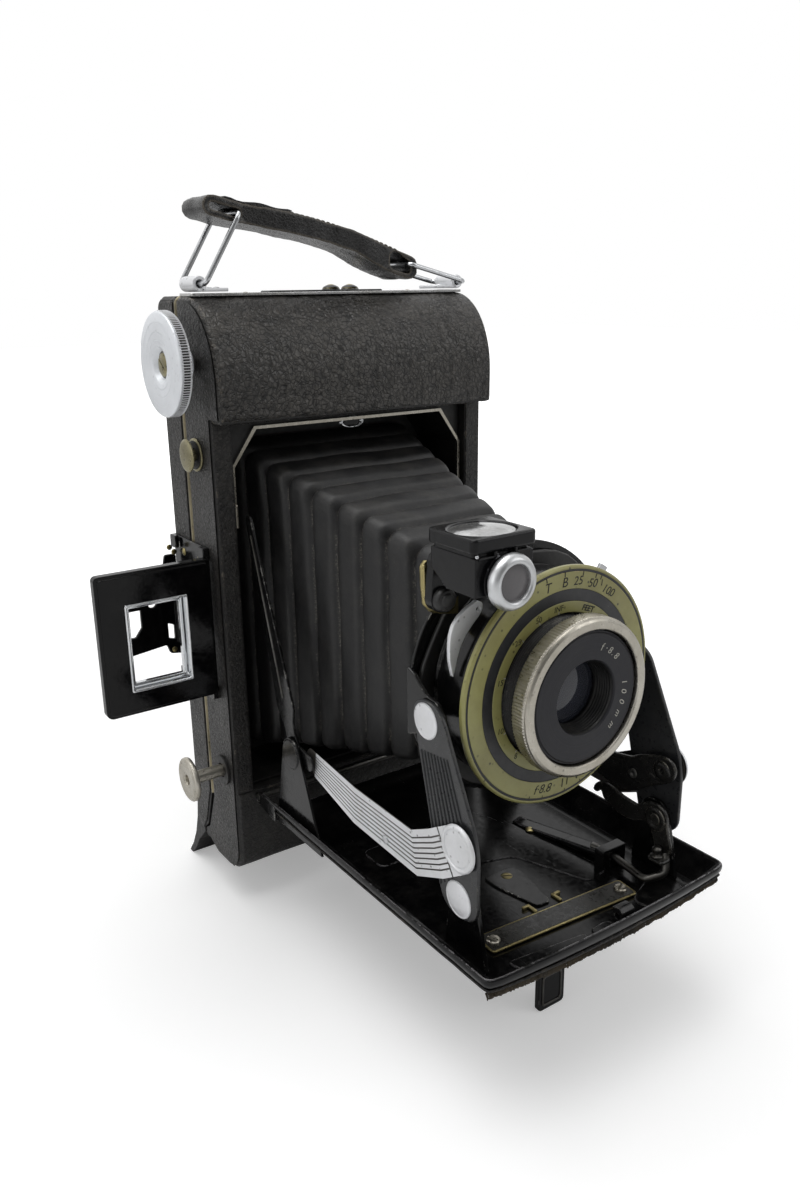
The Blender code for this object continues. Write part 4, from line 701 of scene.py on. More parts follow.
# %% Side leather and the leather of the back
side_front = [(-0.9, 161.2)] + [(-4.4 - 15.2 * sind(t), 142 + 19.2 * cosd(t)) for t in range(0, 91, 6)]
side_front += [(-19.6, 134.2), (-14.4, 134.2), (-14.4, 16.8)]
side_front += [(-8.1 - 6.3 * cosd(t), 16.8 - 6.3 * sind(t)) for t in range(15, 91, 15)]
side_front += [(-0.9, 10.5), (4.4, 12.9), (-0.9, 27.0)]
side_back = [(2.0, 161.3), (2.0, 29.0), (6.0, 17.6), (8.9, 13.4), (11.6, 15.6), (11.7, 158.4), (9.0, 161.3)]
for side, name in SIDES:
    level = beside(side, BODY_HALF - 0.05, BODY_HALF + SKIN)
    piece("side_leather_front_" + name, "body", plate(side_front, "YZ", *level, soften=0.14), "leather_body",
        "leather")
    piece("side_leather_back_" + name, "back", plate(side_back, "YZ", *level, 0.4, soften=0.14),
        "leather_body", "leather")
behind = [(12.4, 24.0), (12.4, 159.0)] + [(9.4 + 3 * cosd(t), 159 + 3 * sind(t))
    for t in range(10, 91, 10)] + [(2.1, 162.0)]
work = hide_over(behind, BODY_HALF, 1.0, grainy, ends=0.9)
round_window = [v for v in work.verts if hypot(v.co.x, v.co.z - 0.060) < 6.6 * MM]
bmesh.ops.delete(work, geom=round_window, context="VERTS")
piece("back_leather", "back", work, "leather_body", "leather")
recoat("body_black", "front_body", "back_cover")

# %% [markdown]
# ## Metal edges of the body
# A plated bead closes the seam between body and back, and a folded plated strip edges the opening, worn bright
# where the bed rubs on it. Both are drawn wire and strip in reality, so they are bent along their real paths.
# The little oval eye above the bellows catches the bed when it shuts.

# %% Seam beads and opening trim
for side, name in SIDES:
    x = side * 40.9
    path = bent([(x, 0.6, 28.6), (x, 0.6, 161.6), (x - side * 2.4, 0.6, 162.3)], 1.4)
    piece("seam_bead_" + name, "body", tube(path, 0.55), "brass_trim", "brass")
    guard = plate(oblong(-0.4, 1.6, 29, 161), "YZ", *beside(side, 40.3, 41.16), 0.3)
    piece("seam_strip_" + name, "body", guard, "brass_trim", "brass")

rim = [(-35.55, 107), (-35.55, 121.9), (-28.9, 131.5), (28.9, 131.5), (35.55, 121.9), (35.55, 107)]
inner = [(x * 0.979, z - (0.75 if z > 125 else 0.15 if z > 110 else 0)) for x, z in reversed(rim)]
piece("opening_trim", "body", plate(rim + inner, "XZ", -13.5, -12.3, soften=0.1), "nickel", "chrome")
eye = lathe([(2.5, 0), (2.9, 0.5), (3.4, 0.6), (3.8, 0.3), (3.8, 0)], ORIGIN, UP, soften=0)
upright = Matrix.Rotation(radians(90), 4, "X") @ Matrix.Diagonal((1, 0.42, 1, 1))
piece("catch_eye", "body", moved(eye, Matrix.Translation((0, -0.0125, 0.1302)) @ upright), "chrome", "chrome")
piece("catch_tongue", "body", block((-2.4, 2.4), (-12.6, -12.0), (129.3, 131.0), 0.2, 0.1), "enamel",
    "black_metal")
recoat("body_black", "bellows_frame", "pressure_plate")
recoat("steel", "film_roller_top", "film_roller_bottom", "bed_hinge_pin", "pressure_spring")
clip = plate(oblong(-14.9, -12.2, 106.8, 112.8), "YZ", -35.9, -35.2, 0.3)
rivet = lathe([(0, 0.5), (0.6, 0.35), (0.9, 0), (0, 0)], (-35.2, -13.6, 109.8), RIGHT, 24, 0)
piece("rail_clip", "body", [clip, rivet], "nickel", "nickel")

# %% [markdown]
# ## Bellows
# Bellows are one sleeve of thin leather-cloth over stiff cards, folded like a fan. Each fold is a flat card
# with a narrow crease beside it, and at the corners the cloth pulls in and doubles. One four-sided ring is
# extruded again and again from the film gate to the lens, and each ring takes the size and the corner cut
# that its place in the fold asks for.

# %% Bellows sleeve
tree, shader = blank("bellows_cloth")
where = on_object(tree)
weave = clouds(tree, where, 1700.0, 5.0, Roughness=0.6)
drift = clouds(tree, where, 90.0, 8.0, Roughness=0.75)
flecks = clouds(tree, where, 2600.0, 3.0, Roughness=0.7)
edge = put(tree, "Group", node_tree=wear, Reach=1.5 * MM, Amount=0.62)
film = put(tree, "Group", node_tree=dust, Amount=0.45)
colour = mixed(tree, stretch(tree, drift, 0.35, 0.7), (14, 14, 15), (29, 29, 30))
colour = mixed(tree, calc(tree, "MULTIPLY", edge, 0.35), colour, (62, 60, 56))
colour = mixed(tree, calc(tree, "MULTIPLY", edge, stretch(tree, flecks, 0.5, 0.62)), colour, (122, 118, 108))
feed(shader, Base_Color=mixed(tree, film, colour, (96, 93, 86)), Roughness=stretch(tree, drift, 0.3, 0.7,
    0.42, 0.64), Normal=put(tree, "Bump", Strength=0.7, Distance=0.08 * MM, Height=weave))

FOLDS = 10
GATE = (6.0, 29.4, 39.2, 126.6)        # place along the lens axis, half width, bottom and top
YOKE = (-77.7, 12.4, 58.8, 104.8)
FOLD_STATIONS = [(0.09, 0.75), (0.16, 0.15), (0.3, 0.0), (0.5, -0.05), (0.7, 0.0), (0.84, 0.1), (0.92, 0.7),
    (1.0, 2.0)]


def sleeve_ring(turn, depth):
    """Points of one ring, with its corners rounded; the corners draw in where the ring lies in a crease."""
    t = turn / FOLDS
    y, half, bottom, top = [a + (b - a) * t for a, b in zip(GATE, YOKE)]
    half, bottom, top = half - depth, bottom + depth, top - depth
    cut = 3.0 + 1.1 * depth
    points = []
    for cx, cz, start in ((half - cut, top - cut, 0), (cut - half, top - cut, 90), (cut - half, bottom + cut, 180),
                          (half - cut, bottom + cut, 270)):
        points += [(cx + cut * cosd(start + a), y, cz + cut * sind(start + a))
            for a in (0, 22.5, 45, 67.5, 90)]
    return points


work = bmesh.new()
ring = [work.verts.new(Vector(p) * MM) for p in sleeve_ring(0, 2.0)]
edges = [work.edges.new(pair) for pair in zip(ring, ring[1:] + ring[:1])]
for fold in range(FOLDS):
    for share, depth in FOLD_STATIONS:
        grown = bmesh.ops.extrude_edge_only(work, edges=edges)["geom"]
        fresh = [g for g in grown if isinstance(g, bmesh.types.BMVert)]
        edges = [g for g in grown if isinstance(g, bmesh.types.BMEdge) and all(v in fresh for v in g.verts)]
        ring = [next(e.other_vert(old) for e in old.link_edges if e.other_vert(old) in fresh) for old in ring]
        for vert, spot in zip(ring, sleeve_ring(fold + share, depth)):
            vert.co = Vector(spot) * MM
long_edges = [e for e in work.edges if e.calc_length() > 8 * MM]
bmesh.ops.subdivide_edges(work, edges=long_edges, cuts=6, use_grid_fill=True)
for vert in work.verts:
    spot = vert.co / MM
    t = (GATE[0] - spot.y) / (GATE[0] - YOKE[0])
    corner = min(1.0, min(abs(abs(spot.x) - 29 + 17 * t), abs(abs(spot.z - 82.5) - 43 + 20 * t)) / 6)
    slow = noise.noise_vector(spot * 0.09 + Vector((3, 1, 7)))
    quick = noise.noise_vector(spot * 0.55)
    vert.co += (slow * 0.5 + quick * (0.28 - 0.2 * corner)) * MM * min(1, 8 * t, 8 * (1 - t))
bmesh.ops.recalc_face_normals(work, faces=work.faces)
bmesh.ops.solidify(work, geom=list(work.faces), thickness=0.4 * MM)
sleeve = piece("bellows_sleeve", "standard", work, "bellows_cloth", "bellows_cloth", "bellows", smooth=60)
finer = sleeve.modifiers.new("finer", "SUBSURF")
finer.levels = finer.render_levels = 1
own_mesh(sleeve)

# %% [markdown]
# ## Shutter face and dial
# The face plate is a brass disc, lacquered olive gold, with two rings etched a little deeper and filled with
# black. So the disc is turned with two shallow grooves and a black ring lies in each. The numbers are printed:
# thin cut-out characters of black ink that stand a few hundredths proud, each set round the lens axis at its
# own angle. A dial of plain times, stops and distances in feet carries nothing else.

# %% Gold plate and black rings
finish("olive_gold", (152, 150, 94), (126, 121, 72), (0.3, 0.46), speckle=0.85, bump=0.02, scratched=0.25,
    worn=((176, 160, 120), 0.4), dusty=0.25, coat=0.15)
finish("dial_black", (27, 28, 31), (40, 41, 44), (0.34, 0.46), speckle=0.25, dusty=0.3)
FACE = (0, -92.7, LENS_Z)
rings = [(16.6, 0), (26.7, 0), (26.7, 0.85), (26.3, 1.2), (25.95, 1.2), (25.95, 1.08), (25.4, 1.08),
    (25.4, 1.2), (21.7, 1.2), (21.7, 1.08), (19.0, 1.08), (19.0, 1.2), (16.6, 1.2)]
piece("face_plate", "standard", lathe(rings, FACE, FRONT, 160, 0.035), "olive_gold", "olive_gold",
    "scale_plate")
filled = [lathe(oblong(low, high, 1.0, 1.14), FACE, FRONT, 160, 0) for low,
    high in ((25.42, 25.93), (19.02, 21.68))]
piece("face_rings", "standard", filled, "dial_black", "black_enamel")

# %% Dial characters and ticks
DIAL_Y = -93.9


def round_dial(text, size, angle, radius, spin, slant=0.18, weight=0.0, y=DIAL_Y):
    """Characters at an angle round the lens axis, turned by their own spin."""
    place = (radius * cosd(angle), y, LENS_Z + radius * sind(angle))
    return moved(lettering(text, size, slant, weight), station(place, FRONT, radians(spin)))


def tick(angle, low, high, width=0.28, lean=0.0):
    """Short printed line that points at the lens axis."""
    along = Vector((cosd(angle), sind(angle)))
    side = Vector((-along.y, along.x)) * width / 2
    inner, outer = along * low + side * lean, along * high
    corners = [inner - side, outer - side, outer + side, inner + side]
    return plate([(c.x, c.y + LENS_Z) for c in corners], "XZ", DIAL_Y - 0.04, DIAL_Y + 0.02, soften=0)


dial = [("T", 3.0, 101.6, 23.2, 4), ("B", 3.0, 89.8, 23.2, 0), ("25", 2.7, 80.3, 23.3, -5),
    ("50", 2.7, 69.2, 23.2, -12), ("100", 2.7, 55.8, 23.2, -31), ("f·8.8", 2.9, -101, 23.4, -8, 0.3),
    ("11", 2.9, -84.8, 23.4, 5), ("16", 2.9, -73.9, 23.4, 16), ("22", 2.9, -65.3, 23.4, 25),
    ("FEET", 1.75, 66.4, 17.8, -20, 0.18, 0.05), ("INF", 1.75, 94.6, 17.8, 4), ("50", 1.7, 113.1, 17.8, 8),
    ("25", 1.7, 134.8, 17.8, 12), ("15", 1.7, 163.9, 17.8, 0), ("10", 1.7, -160.8, 17.8, 0),
    ("8", 1.8, -134.4, 17.8, 0), ("6", 1.8, -76.7, 17.8, 0), ("3½", 1.6, 48, 17.8, -20)]
printed = [round_dial(*row) for row in dial]
printed += [tick(angle, 24.5, 25.5) for angle in (101.6, 89.8, 77.6, 68.4, 64.6)]
printed += [tick(angle, 24.9, 25.5, 0.22) for angle in (-109, -100, -84.8, -73.9, -65.3)]
printed.append(tick(63.2, 23.4, 24.7, 0.28, lean=-3.0))
piece("dial_characters", "standard", printed, "ink_black", "black_enamel", smooth=30)
white_ticks = [tick(angle, 16.6, 17.2, 0.2) for angle in (-157, -137, -100, 160, 131, 113, 94.6)]
piece("distance_ticks", "standard", white_ticks, "ink_white", "nickel")

# %% [markdown]
# ## Shutter, focusing ring and lenses
# The shutter case is a gloss black drum with a rounded front edge. In front of it turns the focusing ring:
# plated brass whose rim carries about 150 fine straight ribs for the fingertips. A lathe alone makes a smooth
# rim, so every second column of its points is pressed in a little. The lens cell is a black dish, its well cut
# in small steps that swallow stray light, and the lenses are real domed glass.

# %% Shutter drum, board and tube
drum = [(15.9, 0), (24.4, 0), (24.4, 0.5), (24.0, 0.75), (24.0, 1.2), (24.4, 1.45), (24.4, 9.0), (24.0, 10.4),
    (22.6, 11.5), (15.9, 11.5)]
piece("shutter_drum", "standard", lathe(drum, (0, -80.9, LENS_Z), FRONT, 128, 0.2), "enamel", "black_enamel",
    "shutter_housing")
piece("lens_board_black", "standard", softened("lens_board", 0.35), "enamel_dull", "black_metal",
    "lens_board")
back_plate = plate([(29.2 * cosd(a), LENS_Z + 29.2 * sind(a)) for a in range(0, 360, 4)], "XZ", -79.1, -78.2,
    holes=[(0, LENS_Z, 10.4)], soften=0.2)
ear = [(-78.4, 73.0), (-78.4, 88.4), (-81.0, 87.4), (-85.2, 84.0), (-88.6, 83.6), (-91.0, 81.4),
    (-91.4, 78.6), (-90.2, 76.0), (-87.4, 74.8), (-83.4, 75.0)]
ears = [plate(ear, "YZ", *beside(side, 28.4, 29.4), 0.5, [(-86.7, 79.3, 1.7)], 0.2) for side in (-1, 1)]
piece("yoke_black", "standard", [back_plate, *ears], "enamel", "black_enamel", "lens_yoke")
thread = [(15.0, 0), (15.9, 0), (15.9, 8.8)]
for k in range(9):
    thread += [(15.9, 8.8 + 0.6 * k + 0.2), (15.6, 8.8 + 0.6 * k + 0.4)]
thread += [(15.6, 15.0), (15.0, 15.0)]
piece("lens_tube", "standard", lathe(thread, (0, -82.2, LENS_Z), FRONT, 96, 0), "enamel_dull", "black_metal",
    "lens_barrel")

# %% Focusing ring with its ribs
RIBS = 150
grip = [(15.05, 0.0), (17.0, 0.0), (17.6, 0.45), (17.6, 3.5), (17.25, 3.75), (17.2, 4.0), (17.3, 4.2),
    (16.7, 4.6), (15.2, 4.6), (14.95, 4.3), (14.95, 3.4), (15.05, 3.2)]
work = ribbed(lathe(grip, ORIGIN, UP, 2 * RIBS, 0), RIBS, 17.4, 0.987, 0.4, 3.6)
finish("ring_nickel", (196, 192, 182), (158, 152, 138), (0.24, 0.42), 1.0, bump=0.02, speckle=0.55,
    scratched=0.9, dusty=0.3)
moved(work, station((0, -97.7, LENS_Z), FRONT))
piece("focusing_ring", "focus", work, "ring_nickel", "nickel", "focus_ring", smooth=24)

# %% Lens cell, its well and its lettering
tree, shader = blank("cell_black")
turned = put(tree, "Group", node_tree=lathe_marks, Centre=(0, -0.100, LENS_Z * MM), Pitch=0.00028)
streak = turned.node.outputs["Streak"]
film = put(tree, "Group", node_tree=dust, Amount=0.2)
feed(shader, Base_Color=mixed(tree, film, mixed(tree, streak, (28, 28, 32), (46, 46, 50)), (120, 118, 112)),
    Specular_IOR_Level=0.22, Roughness=stretch(tree, streak, 0.2, 0.8, 0.3, 0.46),
    Normal=put(tree, "Bump", Strength=0.3, Distance=0.01 * MM, Height=turned))
CELL = (0, -93.7, LENS_Z)
finish("well_black", (7, 7, 7), (13, 13, 13), (0.3, 0.45), dusty=0.25, worn=((90, 88, 84), 0.2))
cell = [(8.15, 6.4), (8.15, 7.55), (8.45, 7.9), (14.05, 7.9), (14.25, 7.6), (14.6, 7.6), (14.7, 7.2),
    (14.7, 0), (8.2, 0)]
piece("cell_face", "focus", lathe(cell, CELL, FRONT, 128, 0.06), "cell_black", "black_metal", "lens_cell")
well = [(8.15, 7.4)]
for k in range(7):
    well += [(8.12 - 0.11 * k, 7.1 - 0.6 * k), (7.98 - 0.11 * k, 6.9 - 0.6 * k)]
well += [(7.2, 2.9), (8.3, 2.9), (8.3, 7.4)]
piece("cell_well", "focus", lathe(well, CELL, FRONT, 96, 0), "well_black", "black_metal")
spread = [("f", 70, 2.4), ("·", 63, 2.4), ("8", 56, 2.2), (".", 50, 2.2), ("8", 43, 2.2), ("1", 6, 2.1),
    ("0", -5, 2.2), ("0", -17, 2.2), ("m", -31, 2.0), ("m", -46, 2.0)]
letters = [round_dial(text, size, angle, 11.2, angle - 90, y=-101.6, slant=0.25) for text, angle,
    size in spread]
piece("cell_characters", "focus", letters, "ink_white", "nickel", smooth=30)

# %% Glass, iris and blades
tree, shader = blank("lens_glass")
film = put(tree, "Group", node_tree=dust, Amount=0.03)
feed(shader, Transmission_Weight=0.3, IOR=1.52, Roughness=0.0, Base_Color=mixed(tree, film, (52, 54, 62),
    (120, 120, 118)))


def dome(radius, near, far, rise_near, rise_far):
    """Side profile of a lens from axis to axis, domed on both faces."""
    steps = [k / 8 for k in range(9)]
    front = [(radius * s, far + rise_far * (1 - s * s)) for s in steps]
    behind = [(radius * s, near - rise_near * (1 - s * s)) for s in reversed(steps)]
    return front + behind


piece("front_glass", "focus", lathe(dome(7.5, 1.55, 2.1, 0.35, 1.1), CELL, FRONT, 96, 0), "lens_glass",
    "glass", "front_lens", smooth=50)
finish("iris_black", (26, 27, 31), (38, 39, 44), (0.2, 0.3), bump=0.002, speckle=0.0, scratched=0.0,
    dusty=0.0)
recoat("iris_black", "iris_diaphragm", "shutter_blades")
recoat("lens_glass", "rear_lens")

# %% [markdown]
# ## Shutter levers
# The shutter release is a thin plated crescent that lies between the face plate and the board, with a small
# hole for a string or cable at its upper end. It is sawn from sheet, so it is a flat outline given thickness.
# The two bent tabs that set speed and stop are little stepped strips of the same sheet.

# %% Release crescent and setting tabs
blade = [(28.5, 131), (29.6, 137), (30.1, 141), (30.2, 145), (29.7, 149), (28.8, 153), (27.4, 159),
    (25.5, 166), (25.6, 160), (25.9, 155), (26.1, 150), (26.1, 145), (25.9, 140), (25.7, 135), (26.0, 131.5),
    (27.2, 129.5)]
crescent = [(r * cosd(a), LENS_Z + r * sind(a)) for r, a in blade]
eyelet = (26.9 * cosd(133), LENS_Z + 26.9 * sind(133), 0.62)
piece("release_crescent", "release_lever", plate(crescent, "XZ", -88.3, -87.3, 0.5, [eyelet], 0.18),
    "white_satin", "chrome", "release_lever", smooth=40)
for name in ("speed_lever", "stop_lever"):
    piece(name + "_tab", name, softened(name, 0.12), "chrome", "chrome", name)

# %% [markdown]
# ## Bed tray
# The bed is one steel pressing: a shallow tray whose sides slope up to a narrow rim, like a soap dish, and whose
# front edge bows outward. A skin is swept along the edge of the tray through a side profile, so the slope, the
# rounded rim and the thin wall come from one list of insets and heights. The rim rises a little at the middle
# of the bow. The enamel is thick and glossy, and worn to the steel along the rim.

# %% Tray swept along its edge
BED_HALF, BED_REAR, BED_FRONT, BED_BOW, FLOOR = 35.8, -19.6, -113.8, 2.2, 28.8


def bed_line(inset, steps=30):
    """Edge of the bed in plan, from rear left round the bowed front to rear right, moved inward."""
    half, front, turn = BED_HALF - inset, BED_FRONT + inset, max(0.6, 2.4 - inset)
    left = [(-half, BED_REAR + (front + turn - BED_REAR) * k / steps) for k in range(steps)]
    left += [(turn - half - turn * cosd(a), front + turn - turn * sind(a)) for a in range(0, 84, 12)]
    wide = half - turn
    bow = [(x, front - BED_BOW * (1 - (x / half) ** 2)) for x in (wide * (k / steps - 1)
        for k in range(1, 2 * steps))]
    return left + bow + [(-x, y) for x, y in reversed(left)]


def crown(x, y, z):
    """Height of the tray, raised towards the middle of the bow."""
    return z + 1.2 * max(0.0, 1 - (x / BED_HALF) ** 2) * min(1, max(0, (z - 29) / 6)) * (y < -100)


def swept(profile, ragged=None):
    """Skin along the bed's edge through a profile of (inset, height)."""
    work = bmesh.new()
    rings = [[work.verts.new((x * MM, y * MM, crown(x, y, z) * MM)) for x, y in bed_line(inset)] for inset,
        z in profile]
    chains = [[work.edges.new(pair) for pair in zip(ring, ring[1:])] for ring in rings]
    for low, high in zip(chains, chains[1:]):
        bmesh.ops.bridge_loops(work, edges=low + high)
    return work, rings


tray = [(8.4, 26.0), (7.4, 26.1), (6.5, 26.6), (0.5, 33.0), (0.08, 33.7), (-0.05, 34.5), (0.05, 35.0),
    (0.35, 35.25), (0.7, 35.1), (0.95, 34.6), (4.9, 29.5), (5.5, 29.0), (6.4, FLOOR)]
work, rings = swept(tray)
work.faces.new(rings[0])
work.faces.new(rings[-1])
work.faces.new([ring[0] for ring in rings] + [ring[-1] for ring in reversed(rings)])
finish("bed_enamel", (4, 4, 5), (9, 9, 10), (0.12, 0.26), worn=((150, 148, 150), 0.62), reach=0.5, dusty=0.08,
    scratched=0.4, shine=0.25)
piece("bed_tray", "bed", work, "bed_enamel", "black_enamel", "bed", smooth=48)

# %% Knuckles, brackets, lugs and the hook on the tray
fittings = []
for side in (-1, 1):
    wall = beside(side, 34.8, 35.8)
    fittings.append(plate([(-26.4, 29.8), (-17.4, 31.2), (-15.6, 32.2), (-15.6, 33.8), (-17.4, 34.6),
        (-26.4, 34.6)], "YZ", *wall, 0.5, [(-17, 33, 1.2)], 0.1))
    inner = beside(side, 28.4, 29.4)
    fittings.append(plate([(-105.5, 28.6), (-101.9, 44.6), (-100.0, 47.2), (-95.6, 47.2), (-93.6, 44.6),
        (-91.5, 28.6)], "YZ", *inner, 1.2, [(-97.8, 43.4, 1.8)], 0.15))
for x in (-5.2, 5.2):
    fittings.append(plate([(-95.8, 26.2), (-95.2, 22.0), (-94, 21.2), (-92.8, 22.0), (-92.2, 26.2)], "YZ",
        x - 0.8, x + 0.8, 0.4, soften=0.12))
fittings.append(tube([(-6.4, -94, 22.8), (6.4, -94, 22.8)], 0.8))
fittings += [block((18.4, 20.9), (-91.8, -88.8), (28.6, 32.6), 0.3, 0.2),
    block((23.9, 26.2), (-91.8, -88.8), (28.6, 32.6), 0.3, 0.2), block((18.4, 26.2), (-91.8, -88.8),
    (32.2, 33.3), 0.4, 0.25)]
catch = plate([(-110.0, 28.7), (-110.0, 31.6), (-108.8, 32.6), (-106.9, 32.2), (-106.9, 28.7)], "YZ", 5.6,
    9.6, 0.3, [(-108.4, 30.4, 0.7)], 0.15)
fittings.append(catch)
piece("bed_fittings", "bed", fittings, "enamel", "black_enamel")
seat = [(-24.5, -51), (9.8, -51), (12.4, -57), (19.8, -92.4), (12, -93.8), (4.8, -75), (-6.4, -71.5),
    (-14, -60), (-24.5, -60)]
pressings = [(seat, 0.25, 2.0, 0.2), ([(-23.5, -104.6), (-2.4, -107.2), (-6.6, -112.2), (-21.5, -110.8)], 0.3,
    1.8, 0.25), ([(-1.4, -107.0), (4.2, -106.6), (5.4, -111.6), (-1.8, -112.6)], 0.3, 1.2, 0.25),
    ([(14.4, -104.6), (26.8, -99.6), (28.6, -108.4), (15.6, -111.4)], 0.3, 2, 0.25)]
panels = [plate(shape, "XY", FLOOR - 0.2, FLOOR + top, rounding, soften=soft) for shape, top, rounding,
    soft in pressings]
piece("bed_pressings", "bed", panels, "bed_enamel", "black_enamel", smooth=50)

# %% [markdown]
# ## Leather under the bed
# The underside is covered with the same leather, glued up over the slope and cut off below the rim. Along the
# front the cut edge has frayed into short brown fibres. The leather is a second skin outside the first, its
# upper edge wandered by noise, and the fibres are a row of small leaning slivers of torn leather.

# %% Leather skin and torn edge
def torn_height(x, y):
    """Upper edge of the leather: high at the corners, lower and ragged in the middle of the bow."""
    middle = max(0.0, 1 - (x / 33) ** 2) if y < -105 else 0.0
    return 32.6 - 2.2 * middle + 0.35 * noise.noise((x * 0.9, y * 0.9, 3.0)) + 0.3 * noise.noise((x * 0.2,
        y * 0.2, 7.0))


shell = [(0.6, 32.6), (2.4, 30.6), (4.4, 28.4), (6.3, 26.2), (7.3, 25.72), (8.6, 25.6)]
work, rings = swept(shell)
for ring, share in zip(rings, (1.0, 0.55, 0.2)):
    for vert in ring:
        drop = (32.6 - torn_height(vert.co.x / MM, vert.co.y / MM)) * share
        out = Vector((vert.co.x, vert.co.y + 0.065, 0)).normalized()
        vert.co += Vector((-out.x * 0.93, -out.y * 0.93, -1)) * drop * MM
work.faces.new(rings[-1])
bmesh.ops.recalc_face_normals(work, faces=work.faces)
bmesh.ops.solidify(work, geom=list(work.faces), thickness=-0.38 * MM)
piece("bed_leather", "bed", work, "leather_body", "leather", smooth=60)
finish("torn_leather", (74, 62, 42), (30, 26, 20), (0.7, 0.9), scale=2400, bump=0.08, dusty=0.4)
slivers = []
for k in range(560):
    x = -34.6 + 69.2 * (k % 280 + 0.5 * (k // 280) + 0.4 * noise.noise((k * 1.7, 0, 0))) / 280
    reach = 0.85 + 0.6 * noise.noise((x * 0.35, 4.0, 0)) + 0.5 * noise.noise((x * 3.1, k, 9.0))
    front = BED_FRONT - BED_BOW * (1 - (x / BED_HALF) ** 2)
    along = 0.33 + 0.28 * max(0.0, 1 - (x / 30) ** 2) + 0.06 * noise.noise((x, 2.0, 5.0)) - 0.1 * (k // 280)
    base = Vector((x, front + 0.2 + 6.0 * along, 33.3 - 6.7 * along - 0.4))
    tip = base + Vector((0.5 * noise.noise((x * 2.0, 1.0, 0)), -0.25, -max(0.4, reach)))
    slivers.append(tube([base + Vector((0, 0.25, 0.5)), base.lerp(tip, 0.5) + Vector((0, -0.2, 0)), tip],
        0.17, sides=0))
piece("torn_fringe", "bed", slivers, "torn_leather", "leather")

# %% [markdown]
# ## Fittings on the bed floor
# A small brass plate, lacquered black inside a bright border, is screwed across the front of the bed. It is
# left bare. Behind it lie a leaf spring held by one brass screw, with two brass tabs at its tip, and the long
# rod that locks the bed open: a folded black rail for most of its length, then bare wire through a guide.

# %% Bare plate, leaf spring and rail
lean = Matrix.Rotation(radians(-4.0), 4, "Z")


def laid(work):
    return moved(work, Matrix.Translation(Vector((-3.2, -99.4, FLOOR)) * MM) @ lean)


name_plate = plate(oblong(-20.6, 20.6, -3.2, 3.2), "XY", 0.25, 0.75, 0.8, soften=0.1)
border = oblong(-20.15, 20.15, -2.8, 2.8)
field = plate(border, "XY", 0.7, 0.8, 0.7, soften=0.04)
piece("bare_plate", "bed", laid(name_plate), "brass", "brass")
finish("plate_black", (17, 17, 16), (34, 33, 28), (0.2, 0.4), dusty=0.2, scratched=0.8)
piece("bare_field", "bed", laid(field), "plate_black", "black_enamel")
ends = [screw((side * 18.2, 0, 0.7), UP, 1.55, 0.75, spin, 0.4) for side, spin in ((-1, 0.5), (1, 2.1))]
piece("plate_screws", "bed", laid(together(*ends)), "nickel", "nickel")
leaf = plate([(-7.4, -78.0), (1.2, -78.4), (1.6, -82.4), (-1.0, -94.2), (-4.8, -94.0), (-7.4, -82.4)], "XY",
    FLOOR + 0.1, FLOOR + 0.55, 0.9, soften=0.1)
piece("leaf_spring", "bed", leaf, "enamel", "black_enamel")
piece("leaf_screw", "bed", screw((-2.6, -80.8, FLOOR + 0.2), UP, 1.5, 0.45, 1.1), "brass", "brass")
tabs = []
for side, x, y in ((-1, -6.4, -93.2), (1, 1.2, -93.2)):
    tabs += [block(sorted((x, x + side * 1.9)), (y, y + 0.7), (FLOOR, FLOOR + 0.8), 0.15, 0.12),
        block((x - 0.4, x + 0.4), (y - 2.2, y + 0.9), (FLOOR, FLOOR + 0.6), 0.15, 0.12)]
piece("leaf_tabs", "bed", tabs, "brass", "brass")
piece("floor_rivet", "bed", cap((16.6, -67.9, FLOOR + 0.2), UP, 1.3, 0.6), "brass", "brass")
rail = plate([(15.2, -62.0), (19.0, -61.0), (23.9, -89.2), (20.4, -89.8)], "XY", 29.0, 31.5, 0.5, soften=0.7)
for vert in rail.verts:
    if vert.co.y > -64 * MM:
        vert.co.z = min(vert.co.z, 29.05 * MM)
piece("rod_rail", "bed", rail, "bed_enamel", "black_enamel", smooth=50)
rod = bent([(21.6, -85, 31.0), (22.3, -90.5, 31.0), (20.6, -103.0, 31.0), (25.4, -105.0, 32.0),
    (26.6, -103.4, 36.2)], 1.6)
piece("lock_rod", "bed", tube(rod, 0.95), "steel", "steel", "bed_rod")

# %% Folding leg
leg = plate(oblong(-4.1, 4.1, 0, 23.6), "XZ", -94.7, -93.3, [1.2, 1.2, 0.5, 0.5], soften=0.2)
collar = lathe(oblong(0.95, 1.95, 0, 8.2), (-4.1, -94, 22.8), RIGHT, 40, 0.15)
ledge = plate(oblong(-3.1, 3.1, 1.2, 9.6), "XZ", -94.95, -94.65, 1.0, [(oblong(-2.6, 2.6, 1.7, 9.1), 0.7)],
    0.08)
piece("folding_leg", "leg", [leg, collar], "enamel", "black_enamel", "bed_leg")
piece("leg_edge", "leg", ledge, "steel", "steel")
